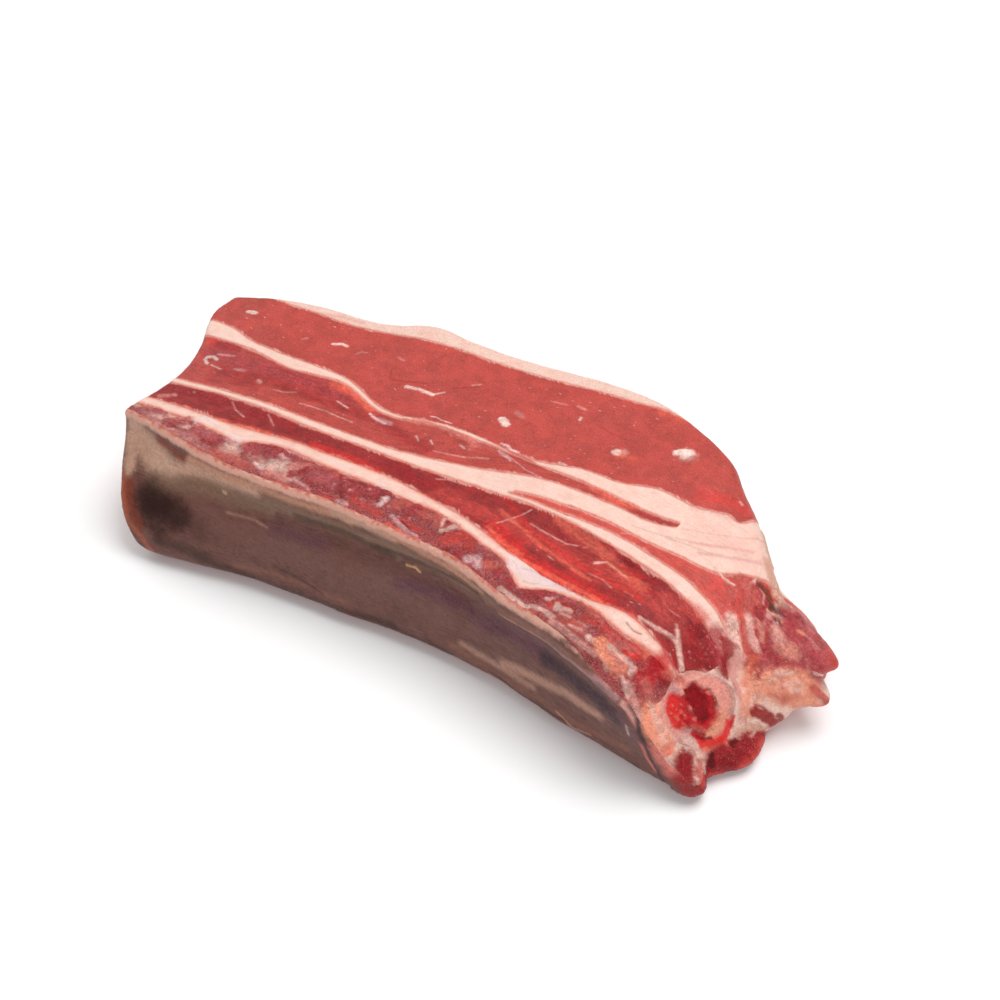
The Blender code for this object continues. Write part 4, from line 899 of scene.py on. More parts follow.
pink_cream 0.7 0.5 0.2 xy 61.4 -37.2 64.9 -36.9
pink_cream 0.7 0.5 0.2 xy 66.8 -39.8 71 -39.4
pink 0.7 0.4 0.2 xy 68.3 -36.8 71.1 -37.1
rust_red 0.9 1.4 0.2 xy 69 -35 74 -34 79 -34
pink_cream 0.81 1 0.4 xy 51.5 -39.2 55.7 -38.6 60 -39.6
orange 0.85 0.7 0.1 xyz 49.6 -41.7 44.1 55 -40.9 43.6 59.8 -41.3 43.3
pink 0.85 0.9 0.2 xy 60.4 -40.9 73.2 -42.7 78.8 -43
pink_cream 0.9 0.9 0.2 xy 38.6 -38.5 50.6 -40.5
rust_red 0.95 2.7 1.2 xy 79 -36 88 -35
scarlet 0.59 1.4 0.3 xy 86 -37 90 -36
brick 0.8 1 0 xy 82.7 -37.3 85.3 -35.7 88 -35.2
orange 0.8 1.4 0.2 xy 87 -31 90 -31 92 -33
pink_cream 0.81 0.9 0.2 xy 73.8 -39.7 77 -40.4 80.9 -42.3 84.4 -44.1
peach 0.95 2.7 0.8 xy 79 -40 87 -42
salmon 0.7 1.4 0.2 xy 82 -40 87 -41 88 -43
pink_cream 0.81 1 0.3 xy 81.7 -38.9 91.1 -39.1 91 -40.9
pink_cream 0.81 1.1 0.6 xy 84 -31.8 86.4 -30.2 88 -27.8
peach 0.9 2 0.8 xy 89 -29 93 -29
dark_crimson 0.95 2.7 0.8 xy 95 -32 98 -31 99 -34
glint 0.64 0.5 0.2 xy 54 -34.3 55.7 -33.4
rose_grey 0.7 -0.5 0.3 xy -33.7 -35.7 -28.3 -34.2 -23.1 -34.1 -18.2 -33.1 -13.7 -31.6 -8.2 -33 -4.4
  -31.3 -33.2 -30.9 -23.1 -29.7 -17.6 -30
""",
    # The thin dark_brown line sunk just under the top edge, from x 34 to 82 mm, is painted shadow
    # under the overhanging edge.
    "rib_membrane": """
fawn 0.95 5.1 0 xz -116 37 -99 32
fawn 0.9 2.7 0 xz -119 40 -118 33 -115 27
beige 0.7 2.4 0 xz -106 33 -96 33 -87 36
fawn 0.85 2.7 0 xz -93 35 -61 38
ochre 0.8 1.7 0 xz -73 39 -56 41 -22 41
fawn 0.8 1.7 0 xz -29 42 -5 42
red_brown 0.85 1.5 0 xz -105 40 -93 38
ochre 0.8 1.4 0 xz -90 39 -73 39
rust 0.9 1.4 0 xz -117 24 -113 20 -108 14
red_brown 0.9 2 0 xz -112 23 -107 18 -102 14
rust 0.8 1 0 xz -106.4 12.9 -100.3 9.9 -95.5 5.4
dark_brown 0.8 2 0 xz -93 11 -75 10
olive 0.85 2.7 0 xz -102 27 -85 31 -55 33
olive 0.8 2.4 0 xz -56 36 -25 35 -5 35
dark_olive 0.8 1.2 -0.2 xz -44 34 -24 34 -5 33
dusk 0.8 4.4 0 xz -80 24 -52 21
dusk 0.8 5.1 0 xz -45 22 -9 21
plum 0.7 2 0 xz -51 27 -31 28
dark_brown 0.85 1.9 0 xz -77 8 -57 5 -33 5 -1 7
brown 0.7 1 0 xz -63.2 9 -47.6 11 -19.3 10.5
umber 0.85 4.8 0 xz -102 23 -90 20
umber 0.9 3.1 0 xz -100 21 -92 22 -86 20
umber 0.6 2.7 0 xz -106 22 -101 18 -93 14
dark_brown 0.5 3.1 0 xz -88 22 -79 20 -78 17
tan 0.4 0.4 0.1 xz -70.3 26.9 -58.9 27.8 -53.7 26.6
beige 0.8 0.5 0.1 xz -74 32.5 -73 32.4
dark_brown 0.6 0.5 -0.2 xz -47.9 14.2 -38.2 12.9 -28.1 10.2
ochre 0.8 1.4 0 xz -15 44 10 41 21 40 32 39
olive 0.85 1.7 0 xz -15 36 -2 38 10 36 23 36 38 38
dark_olive 0.8 1 -0.2 xz -14.2 33.6 2.2 35.2 17.2 35.6 29.9 36.4
brown 0.95 1.5 0.1 xz 34 35 47 38 60 39 83 39
dark_brown 0.9 0.5 -0.3 xyz 33.7 -39.6 40.3 46.7 -41.4 41.4 60.6 -42.6 41.8 72.7 -43.9 43.3 81.7
  -44.3 40.9
gold 0.95 0.5 0.5 xz 0.3 31.9 3.7 32.5 5.5 31.4
tan 0.8 0.5 0.3 xz 39.7 34.1 51.3 35.9 58.4 36.4 67.5 35.8
rose_grey 0.7 0.9 0.2 xz 67.5 35.8 75.7 36.9 84 38.4 90.8 36
dusk 0.8 4.1 0 xz -12 25 18 19
plum 0.85 2.4 0 xz 0 25 12 27 22 27
maroon 0.85 1.7 0 xz 18 27 25 28 29 27
plum 0.9 3.1 0 xz 33 27 48 30 61 30
maroon 0.8 1.7 0 xz 35 25 43 28
grey 0.7 1 0 xz 61.1 36.4 70.3 36.2 80.9 37.3 89.6 35.5
dark_plum 0.95 2.7 0 xz 61 29 83 29 92 25
plum 0.8 1.7 0 xz 92 30 99 20
tan 0.75 1.9 0 xz 44 15 71 21 84 21
tan 0.6 1.4 0 xz 27 13 42 12 57 13
brown 0.8 1.5 0 xz 23 10 40 7 59 9 76 9 96 12
dark_brown 0.85 1 0 xz -10 7.2 5.6 5.7 22.3 5.6
dark_brown 0.7 0.5 -0.2 xz 39.8 6.7 54 5.3 71.4 7.3
dark_brown 0.85 1.2 0 xz 86 4 100 5
tan 0.8 0.4 0.1 xz 67.5 9.2 74.5 5.8 81.5 7.6
glint 0.48 0.4 0.1 xz 95.7 25.7 96.5 21.5
pink 0.8 1 0.2 xz 93.3 34.9 96.5 30.7 99.4 28.2
salmon 0.8 1 0.1 xz 101.8 19.9 104.5 12.8 106.8 9.9
peach 0.85 1.7 0.1 xyz 98 -45 33 103 -47 26
salmon 0.9 2.7 0.2 xyz 106 -47 21 112 -46 13
dark_crimson 0.97 3.1 0.3 xyz 115 -45 10 120 -44 4
dark_plum 0.9 0.7 -0.3 xz 98.4 30.5 103.5 17.9 109.6 6.2
""",
    "fat_cover": """
pink 0.5 0.7 0 xy -100.9 35.8 -93.4 39.4 -84.6 41.5
peach 0.4 0.7 0 xyz -28.4 51.5 44.8 -21.3 56.7 44.1
""",
}


def read_marks(text):
    """The marks as tuples of colour, strength, half width, height, axes and an array of points."""
    marks = []
    for line in text.strip().replace("\n  ", " ").split("\n"):
        colour, strength, half_width, height, axes, *numbers = line.split()
        points = np.array(numbers, float).reshape(-1, len(axes))
        marks.append((colour, float(strength), float(half_width), float(height), axes, points))
    return tuple(marks)


MARKS = {name: read_marks(text) for name, text in MARK_LINES.items()}

# The marks' colours and the gloss each brings. glint is a painted highlight; the pale silvery pink
# is partly silver skin and partly a painted highlight.
PALETTE = {
    "cream": ((0.84, 0.61, 0.54), 0.0),
    "dark_cream": ((0.60, 0.32, 0.24), 0.0),
    "pink_cream": ((0.76, 0.45, 0.38), 0.1),
    "pink": ((0.66, 0.30, 0.26), 0.1),
    "peach": ((0.87, 0.28, 0.165), 0.1),
    "apricot": ((0.76, 0.29, 0.19), 0.0),
    "salmon": ((0.62, 0.17, 0.14), 0.2),
    "orange": ((0.80, 0.13, 0.075), 0.1),
    "coral": ((0.66, 0.11, 0.07), 0.1),
    "blush": ((0.52, 0.17, 0.13), 0.1),
    "brick": ((0.50, 0.09, 0.07), 0.25),
    "rust": ((0.36, 0.09, 0.045), 0.0),
    "rust_red": ((0.52, 0.050, 0.040), 0.3),
    "scarlet": ((0.72, 0.022, 0.018), 0.2),
    "crimson": ((0.50, 0.008, 0.014), 0.15),
    "dark_crimson": ((0.28, 0.006, 0.010), 0.3),
    "dark_red": ((0.30, 0.016, 0.016), 0.0),
    "wine": ((0.36, 0.034, 0.040), 0.38),
    "blood": ((0.26, 0.0, 0.004), 0.1),
    "black_red": ((0.10, 0.0, 0.002), 0.0),
    "rose": ((0.56, 0.20, 0.18), 0.3),
    "rose_grey": ((0.60, 0.28, 0.27), 0.5),
    "mauve": ((0.42, 0.075, 0.080), 0.34),
    "silver_pink": ((0.64, 0.35, 0.35), 0.6),
    "silver": ((0.72, 0.55, 0.54), 0.4),
    "grey_blue": ((0.50, 0.38, 0.39), 0.2),
    "glint": ((0.84, 0.58, 0.55), 1.0),
    "bone_grey": ((0.80, 0.31, 0.25), 0.2),
    "beige": ((0.52, 0.33, 0.24), 0.0),
    "fawn": ((0.52, 0.30, 0.215), 0.0),
    "tan": ((0.46, 0.25, 0.18), 0.1),
    "ochre": ((0.50, 0.24, 0.15), 0.0),
    "gold": ((0.60, 0.35, 0.17), 0.1),
    "orange_brown": ((0.40, 0.13, 0.07), 0.0),
    "red_brown": ((0.20, 0.042, 0.022), 0.0),
    "brown": ((0.21, 0.085, 0.06), 0.0),
    "olive": ((0.21, 0.12, 0.078), 0.0),
    "dark_olive": ((0.08, 0.040, 0.028), 0.0),
    "dark_brown": ((0.060, 0.024, 0.018), 0.2),
    "umber": ((0.026, 0.007, 0.005), 0.0),
    "dusk": ((0.17, 0.075, 0.062), 0.1),
    "grey": ((0.24, 0.14, 0.14), 0.1),
    "maroon": ((0.11, 0.034, 0.045), 0.2),
    "plum": ((0.13, 0.050, 0.062), 0.2),
    "dark_plum": ((0.055, 0.022, 0.030), 0.2),
}

# A mark given by two axes lies on one side only: the axis its surface faces along, and which way.
SIDE_FACES = {"xy": (2, 1), "xz": (1, -1), "yz": (0, 1)}
FACING = 0.25
# How soft a mark's edge is, as a share of its width. Faint marks, and those narrower than FINE mm,
# are softer, up to SOFTEST.
SOFT, MEMBRANE_SOFT, FAINT_SOFT, FINE, SOFTEST = 0.34, 0.6, 1.2, 0.7, 0.95
# How far a mark's edge strays, as a share of its width and at most in mm, and the room for it.
STRAY, STRAY_MOST, STRAY_ROOM = 0.2, 0.6, 0.8
# From how many mm inside a seam to how many there is fat, or the lean meat within the fat.
FAT_FROM, LEAN_FROM = (-0.2, 0.9), (-0.4, 0.7)
# A distance in mm that counts as far from any seam.
NO_SEAM = 30.0
# On the membrane, the depths in mm below the top cut from which its marks show.
MEMBRANE_MARKS = (1.2, 3.4)

# The relief's height in mm, and the size in metres of what it follows: swells, grain, fibres, and
# the folds of the strip next to the skin, from some mm inside its seam.
SWELL, SWELL_SIZE = 0.22, 0.009
GRAIN, GRAIN_SIZE = 0.05, 0.0013
FIBRE, FIBRE_SIZE = 0.07, (0.007, 0.0008, 0.002)
FOLD, FOLD_SIZE, FOLD_FROM = 0.5, 0.0028, (0.2, 1.4)
# How far the fat rises, and the depth and half width of the groove at its seams, in mm.
FAT_RISE, GROOVE, GROOVE_HALF = 0.22, 0.16, 0.5
# How far in mm the marks can sink or raise the surface in all.
RAISED = 1.5
# The upward slopes that count as the top cut and the downward ones that count as the foot, where
# all relief is lower by a share.
TOP_SLOPE, FOOT_SLOPE, FOOT_LESS = (0.55, 0.95), (0.6, 0.95), 0.8
# What each kind of noise adds to the seed, so that no two follow each other.
GRAIN_SEED, FIBRE_SEED, STRAY_SEED, FINE_STRAY_SEED, FOLD_SEED = 3, 11, 21, 22, 31


def line_distance(places, line):
    """The distance from each place to a line of points."""
    best = np.full(len(places), np.inf)
    if len(line) == 1:
        return np.linalg.norm(places - line[0], axis=1)
    for start, finish in zip(line[:-1], line[1:]):
        along = finish - start
        t = np.clip((places - start) @ along / (along @ along), 0, 1)
        best = np.minimum(best, np.linalg.norm(places - start - t[:, None] * along, axis=1))
    return best


def mark_cover(places, normals, mark, ragged, soft=SOFT):
    """The indices of the places near a mark and how strongly it covers each, from 0 to 1."""
    _, strength, half_width, _, side, line = mark
    width = abs(half_width)
    softness = min(soft + FAINT_SOFT * (1 - strength) + max(FINE - width, 0.0), SOFTEST)
    seen = places[:, ["xyz".index(axis) for axis in side]]
    reach = width * (1 + softness) + STRAY_ROOM
    near = np.all((seen > line.min(0) - reach) & (seen < line.max(0) + reach), axis=1)
    if side in SIDE_FACES:
        axis, way = SIDE_FACES[side]
        near &= normals[:, axis] * way > FACING
    index = np.nonzero(near)[0]
    parts = [line] if half_width > 0 else line[:, None]
    away = np.minimum.reduce([line_distance(seen[index], part) for part in parts])
    away += ragged[index] * min(width * STRAY, STRAY_MOST)
    return index, 1 - ease(away, width * (1 - softness), width * (1 + softness))


def seam_distance(places, names):
    """Distance in mm to the nearest of the seams, from places in metres in the cutting frame."""
    x, y, z = places.T
    y = y - lean_of(x, z)
    best = np.full(len(x), NO_SEAM)
    for name in names:
        line = seam_lines[name]
        slope = (line(x + MM / 2) - line(x - MM / 2)) / MM
        away = np.abs(y - line(x)) / np.sqrt(1 + slope**2) / MM
        low, high = SEAM_SPANS.get(name, (-FAR, FAR))
        best = np.where((x > low) & (x < high), np.minimum(best, away), best)
    return best


def inside_seams(places, low, high):
    """How deep in mm each place lies between two seams, below zero outside them."""
    x, y, z = places.T
    y = y - lean_of(x, z)
    return np.minimum(y - seam_lines[low](x), seam_lines[high](x) - y) / MM


def fatness(places):
    """1 on the fat that runs between the muscles, 0 on the muscles."""
    x = places[:, 0]
    inner = ease(inside_seams(places, "inner_low", "inner_high"), *FAT_FROM)
    wide = ease(inside_seams(places, "middle_low", "outer_high"), *FAT_FROM)
    wedge = ease(inside_seams(places, "wedge_low", "wedge_high"), *LEAN_FROM) * (x > WEDGE_X[0])
    lean = ease(inside_seams(places, "middle_high", "outer_low"), *LEAN_FROM) * (x < MIDDLE_X[1])
    return np.clip(inner + wide - wedge - lean, 0, 1)


def raggedness(places, seed):
    """How far the edges of the marks stray, the same for the shape and the colour."""
    coarse = rough(places, 0.0018, seed + STRAY_SEED)
    return coarse + 0.7 * rough(places, 0.0008, seed + FINE_STRAY_SEED)


def fine_relief(places, normals, seed):
    """How far in metres each point of the block stands out: swells, fibres, fat and its marks."""
    x, y, z = places.T
    top = ease(normals[:, 2], *TOP_SLOPE)
    fat = fatness(places)
    flow = np.stack([x, y - seam_lines["middle_low"](x), z], 1) / FIBRE_SIZE
    fibres = rough(flow, 1.0, seed + FIBRE_SEED) * (1 - fat)
    height = SWELL * rough(places, SWELL_SIZE, seed)
    height = height + GRAIN * rough(places, GRAIN_SIZE, seed + GRAIN_SEED)
    height += FIBRE * fibres + FAT_RISE * fat * top
    seams = seam_distance(places, BORDERS["branching_fat_seam"] + BORDERS["inner_fat_seam"])
    height -= GROOVE * np.exp(-((seams / GROOVE_HALF) ** 2)) * top
    strip = ease((seam_lines["inner_low"](x) - y + lean_of(x, z)) / MM, *FOLD_FROM) * top
    height += FOLD * strip * (0.5 - np.abs(rough(places, FOLD_SIZE, seed + FOLD_SEED)))
    marked = (places - BOX_MIDDLE) / MM
    ragged = raggedness(places, seed)
    raised = np.zeros(len(x))
    for mark in itertools.chain(*MARKS.values()):
        rise = mark[3]
        if rise:
            index, cover = mark_cover(marked, normals, mark, ragged)
            raised[index] += rise * cover
    height += RAISED * np.tanh(raised / RAISED)
    return height * (1 - FOOT_LESS * ease(-normals[:, 2], *FOOT_SLOPE)) * MM


GUIDES = {
    "skin": lambda: slab_shape(level, far_off, z_range=SKIN_Z, lean=skin_lean, waver=0.0),
    "wedge": lambda: slab_shape(
        seam_lines["wedge_low"], seam_lines["wedge_high"], x_range=WEDGE_X
    ),
    "middle_muscle_guide": lambda: slab_shape(
        seam_lines["middle_high"], seam_lines["outer_low"], x_range=MIDDLE_X
    ),
}
# The levels' lowest and highest z, and half their size along x and y.
LEVELS = {"upper_level": (SHELF, 0.080), "bed_level": (FLOOR_MEAT, SHELF)}
LEVEL_HALF = 0.2
# The tubes' share of the bone's thickness, their shift and their noise, then sides and slices.
TUBES = {"bone": (1.0, (0.0, 0.0), 31), "marrow": (MARROW_SHARE, MARROW_SHIFT, 37)}
TUBE_COUNTS = (96, 90)
# The lump's rows and sides, then its unevenness: how much, of what size, and its noise.
LUMP_COUNTS, LUMP_UNEVEN = (28, 48), (0.06, 0.5, 41)
# How much longer and wider the block is than its nominal box, the steps of its floor, and its
# walls' and the guides' steps as shares of the point spacing. Then the steps up a guide.
BLOCK_SHARES, FLOOR_COUNTS, WALL_STEP, GUIDE_STEP = (1.09, 1.12), (60, 26), 1.3, 1.2
GUIDE_ROWS = 14

solids = {}


def guide_arrays(name, settings):
    """Points, in the cutting frame, and triangles of the guide or block of that name."""
    step = settings.spacing * MM
    if name == "block":
        length, width = NOMINAL[:2] * BLOCK_SHARES
        counts = (round(length / step), round(width / step), round(HEIGHT / (WALL_STEP * step)))
        points, triangles = box_skin(counts, FLOOR_COUNTS)
        return carved(points), triangles
    if name in LEVELS:
        low, high = LEVELS[name]
        points, triangles = box_skin((1, 1, 1))
        size = (2 * LEVEL_HALF, 2 * LEVEL_HALF, high - low)
        return points * size + (-LEVEL_HALF, -LEVEL_HALF, low), triangles
    if name in TUBES:
        points, triangles = tube_skin(*TUBE_COUNTS)
        return bone_shape(*TUBES[name])(points), triangles
    if name == "lump":
        points, triangles = ball_skin(*LUMP_COUNTS)
        share, size, seed = LUMP_UNEVEN
        swell = 1 + share * rough(points, size, seed)
        return points * swell[:, None] * LUMP_HALF + LUMP_MIDDLE, triangles
    points, triangles = box_skin((round(GUIDE_LENGTH / (GUIDE_STEP * step)), 1, GUIDE_ROWS))
    made = GUIDES.get(name)
    shape = made() if made else slab_shape(seam_lines[name], far_off)
    return shape(points), triangles


def split(name, kept, operation, cutter):
    """The part of one mesh that lies inside or outside another."""
    first, second = add_object("kept", kept), add_object("cutter", cutter)
    cut = first.modifiers.new("cut", "BOOLEAN")
    cut.operation, cut.solver, cut.object = operation, "MANIFOLD", second
    seen = first.evaluated_get(bpy.context.evaluated_depsgraph_get())
    mesh = bpy.data.meshes.new_from_object(seen)
    mesh.name = name
    for made in (first, second):
        bpy.data.objects.remove(made)
    return mesh


def solid(name, settings):
    """The mesh of a piece, a part on the way to one, a guide or the block, made once."""
    if name in solids:
        return solids[name]
    if name in CUTS:
        source, operation, guide = CUTS[name]
        mesh = split(name, solid(source, settings), operation, solid(guide, settings))
        if not len(mesh.polygons):
            raise RuntimeError(f"nothing is left of {name}")
    else:
        points, triangles = guide_arrays(name, settings)
        mesh = new_mesh(name, points - BOX_MIDDLE, triangles)
        if name == "block":
            normals = coordinates(mesh, "normal")
            relief = fine_relief(points, normals, settings.seed) * settings.relief
            moved = points - BOX_MIDDLE + normals * relief[:, None]
            mesh.vertices.foreach_set("co", moved.astype(np.float32).ravel())
            mesh.update()
    solids[name] = mesh
    return mesh


def painted(mesh, name, settings):
    """Stores each point's marks, their gloss, its distance to a seam and its place in the flow."""
    places, normals = coordinates(mesh), coordinates(mesh, "normal")
    cutting = places + BOX_MIDDLE
    ragged = raggedness(cutting, settings.seed)
    skin = name == "rib_membrane"
    paint, gloss = np.zeros((len(places), 4)), np.zeros(len(places))
    for mark in MARKS.get(name, ()) + (() if skin else MARKS["everywhere"]):
        colour, shine = PALETTE[mark[0]]
        soft = MEMBRANE_SOFT if skin else SOFT
        index, cover = mark_cover(places / MM, normals, mark, ragged, soft)
        cover = (cover * mark[1])[:, None]
        paint[index] = paint[index] * (1 - cover) + np.array([*colour, 1.0]) * cover
        gloss[index] = np.maximum(gloss[index] * (1 - cover[:, 0]), shine * cover[:, 0])
    paint[:, :3] = paint[:, :3] / np.maximum(paint[:, 3:4], 1e-4)
    x, y, z = cutting.T
    if skin:
        edge = (HEIGHT + top_relief(x, y) - z) / MM + ragged * 0.5
        paint[:, 3] *= ease(edge, *MEMBRANE_MARKS)
    else:
        edge = seam_distance(cutting, BORDERS[name])
    across = y - lean_of(x, z)
    if BORDERS[name]:
        across = across - seam_lines[BORDERS[name][0]](x)
    flow = np.stack([x, across, z], 1) / MM
    layers = (
        ("paint", "FLOAT_COLOR", "color", paint),
        ("gloss", "FLOAT", "value", gloss),
        ("edge", "FLOAT", "value", edge),
        ("flow", "FLOAT_VECTOR", "vector", flow),
    )
    for label, kind, field, values in layers:
        layer = mesh.attributes.new(label, kind, "POINT")
        layer.data.foreach_set(field, np.ascontiguousarray(values, np.float32).ravel())


class Wiring:
    """Adds nodes to a shader tree and joins them; each input is a socket to link or a value."""

    def __init__(self, tree):
        self.tree = tree

    def feed(self, socket, value):
        if isinstance(value, bpy.types.NodeSocket):
            self.tree.links.new(value, socket)
        else:
            socket.default_value = value

    def add(self, kind, inputs=(), **settings):
        made = self.tree.nodes.new("ShaderNode" + kind)
        for key, value in settings.items():
            setattr(made, key, value)
        for key, value in dict(inputs).items():
            self.feed(made.inputs[key], value)
        return made

    def maths(self, operation, first, second, clamp=False):
        inputs = {0: first, 1: second}
        return self.add("Math", inputs, operation=operation, use_clamp=clamp).outputs[0]

    def plus(self, first, second):
        return self.maths("ADD", first, second)

    def minus(self, first, second, clamp=False):
        return self.maths("SUBTRACT", first, second, clamp)

    def times(self, first, second):
        return self.maths("MULTIPLY", first, second)

    def larger(self, first, second):
        return self.maths("MAXIMUM", first, second)

    def shared(self, share, first, second):
        """The first value at a share, and the second at the rest."""
        return self.plus(self.times(first, share), self.times(second, 1 - share))

    def vector(self, operation, first, second):
        return self.add("VectorMath", {0: first, 1: second}, operation=operation).outputs[0]

    def joined(self, x, y, z):
        return self.add("CombineXYZ", {0: x, 1: y, 2: z}).outputs[0]

    def in_units(self, place, size):
        """The place measured in units of that size."""
        return self.vector("DIVIDE", place, self.joined(size, size, size))

    def mix(self, share, first, second, blend="MIX"):
        """Mixes two colours, each a socket or its red, green and blue."""
        first, second = (
            (*colour, 1.0) if isinstance(colour, tuple) else colour for colour in (first, second)
        )
        inputs = {0: share, 6: first, 7: second}
        return self.add("Mix", inputs, data_type="RGBA", blend_type=blend).outputs[2]

    def rise(self, value, low, high, start=0.0, finish=1.0):
        """Goes smoothly from start to finish as the value goes from low to high."""
        inputs = {0: value, 1: low, 2: high, 3: start, 4: finish}
        return self.add("MapRange", inputs, interpolation_type="SMOOTHSTEP").outputs[0]

    def plain_noise(self, place, scale, detail, roughness=0.5, output="Fac"):
        inputs = {"Vector": place, "Scale": scale, "Detail": detail, "Roughness": roughness}
        return self.add("TexNoise", inputs).outputs[output]

    def noise(self, place, size, detail=3.0, roughness=0.55):
        """Noise of that size."""
        return self.plain_noise(self.in_units(place, size), 1.0, detail, roughness)

    def bent(self, place, strength, scale, detail):
        """The place pushed about by noise."""
        push = self.plain_noise(place, scale, detail, output="Color")
        return self.vector("ADD", place, self.vector("MULTIPLY", push, (strength,) * 3))

    def cells(self, place, feature="F1"):
        return self.add("TexVoronoi", {"Vector": place, "Scale": 1.0}, feature=feature).outputs

    def channels(self, colour):
        return self.add("SeparateColor", {0: colour}).outputs

    def attribute(self, name, output="Fac"):
        return self.add("Attribute", attribute_name=name).outputs[output]


SOCKETS = {float: "NodeSocketFloat", tuple: "NodeSocketVector", list: "NodeSocketColor"}
ORIGIN = (0.0, 0.0, 0.0)
GREY = [0.5, 0.5, 0.5, 1.0]


def effect(name, inputs, outputs, fill):
    """A shader node group, built once. A tuple makes a vector socket and a list a colour."""
    group = bpy.data.node_groups.get(name)
    if group:
        return group
    group = bpy.data.node_groups.new(name, "ShaderNodeTree")
    for label, default in inputs.items():
        kind = SOCKETS[type(default)]
        socket = group.interface.new_socket(name=label, in_out="INPUT", socket_type=kind)
        socket.default_value = default
    for label, kind in outputs.items():
        group.interface.new_socket(name=label, in_out="OUTPUT", socket_type=SOCKETS[kind])
    wiring = Wiring(group)
    results = fill(wiring, group.nodes.new("NodeGroupInput").outputs)
    finish = group.nodes.new("NodeGroupOutput")
    for label, socket in zip(outputs, results):
        group.links.new(socket, finish.inputs[label])
    return group


def use(wiring, group, **inputs):
    """Places a group in a material and returns its outputs."""
    node = wiring.add("Group", node_tree=group)
    for key, value in inputs.items():
        wiring.feed(node.inputs[key.capitalize()], value)
    return node.outputs


def fibre_effect():
    """Long streaks that run with the meat, and their finer grain."""

    def fill(w, given):
        drift = w.times(w.noise(given["Flow"], 14.0, 1.0), given["Bend"])
        moved = w.vector("ADD", given["Flow"], w.joined(0.0, drift, 0.0))
        size = w.joined(given["Length"], given["Width"], given["Width"])
        scaled = w.vector("DIVIDE", moved, size)
        return w.plain_noise(scaled, 1.0, 4.0, 0.62), w.plain_noise(scaled, 3.1, 2.0)

    inputs = {"Flow": ORIGIN, "Length": 8.0, "Width": 0.7, "Bend": 4.0}
    return effect("Fibre streaks", inputs, {"Streaks": float, "Grain": float}, fill)


def marbling_effect():
    """Thin branching fat veins, in patches."""

    def fill(w, given):
        place = w.in_units(given["Place"], given["Spacing"])
        web = w.cells(w.bent(place, 1.1, 1.3, 3.0), "DISTANCE_TO_EDGE")
        line = w.rise(web["Distance"], 0.0, given["Thickness"], 1.0, 0.0)
        patch = w.plain_noise(place, 0.37, 2.0)
        cover = w.rise(patch, w.minus(1.0, given["Coverage"]), 1.0)
        return (w.times(line, cover),)

    inputs = {"Place": ORIGIN, "Spacing": 6.0, "Thickness": 0.06, "Coverage": 0.5}
    return effect("Marbling", inputs, {"Mask": float}, fill)


def fleck_effect():
    """Small separate specks of fat, no two alike."""

    def fill(w, given):
        place = w.in_units(given["Place"], given["Spacing"])
        cell = w.cells(w.bent(place, 0.7, 2.5, 2.0))
        chance = w.channels(cell["Color"])
        kept = w.maths("LESS_THAN", chance[0], given["Coverage"])
        radius = w.times(chance[1], given["Size"])
        dot = w.rise(cell["Distance"], w.times(radius, 0.6), radius, 1.0, 0.0)
        return (w.times(dot, kept),)

    inputs = {"Place": ORIGIN, "Spacing": 2.2, "Size": 0.35, "Coverage": 0.35}
    return effect("Flecks", inputs, {"Mask": float}, fill)


def lobule_effect():
    """The small soft grains that fat is made of."""

    def fill(w, given):
        bent = w.bent(w.in_units(given["Place"], given["Size"]), 0.8, 1.7, 2.0)
        height = w.rise(w.cells(bent, "DISTANCE_TO_EDGE")["Distance"], 0.0, 0.35)
        return height, w.channels(w.cells(bent)["Color"])[0]

    inputs = {"Place": ORIGIN, "Size": 1.6}
    return effect("Fat lobules", inputs, {"Height": float, "Tone": float}, fill)


SHADOW_TINT, GLINT_TINT = (0.16, 0.04, 0.05), (0.92, 0.68, 0.64)


def marks_effect():
    """Lays the mesh's marks over a colour, edges broken up, and adds grain and painted glints."""

    def fill(w, given):
        place, strength, grain = given["Place"], given["Strength"], given["Grain"]
        push = w.times(w.minus(w.noise(place, 0.55, 3.0, 0.7), 0.5), given["Break"])
        edge = w.times(strength, w.minus(1.0, strength))
        share = w.plus(strength, w.times(edge, w.times(push, 4.0)))
        share = w.larger(w.maths("MINIMUM", share, 1.0), 0.0)
        depth = w.times(grain, 0.75)
        low, high = w.minus(1.0, depth), w.plus(1.0, w.times(depth, 0.8))
        blotch = w.rise(w.noise(place, 1.3, 4.0), 0.3, 0.7, low, high)
        lively = w.times(given["Detail"], blotch)
        tones = w.add("CombineColor", {0: lively, 1: lively, 2: lively}).outputs[0]
        laid = w.mix(share, given["Base"], w.mix(1.0, given["Paint"], tones, "MULTIPLY"))
        fine = w.noise(place, 0.42, 2.0, 0.6)
        grained = w.mix(w.rise(fine, 0.30, 0.56, grain, 0.0), laid, SHADOW_TINT, "MULTIPLY")
        # Painted glints: pale specks mixed into the colour where the marks are glossy.
        glint = w.times(w.rise(fine, 0.60, 0.74), w.rise(given["Gloss"], 0.08, 0.5, 0.04, 0.5))
        return w.mix(glint, grained, GLINT_TINT), share

    inputs = {
        "Base": GREY, "Paint": GREY, "Strength": 0.0, "Break": 1.0, "Gloss": 0.0, "Grain": 0.3,
        "Detail": 1.0, "Place": ORIGIN,
    }
    return effect("Painted marks", inputs, {"Color": list, "Share": float}, fill)


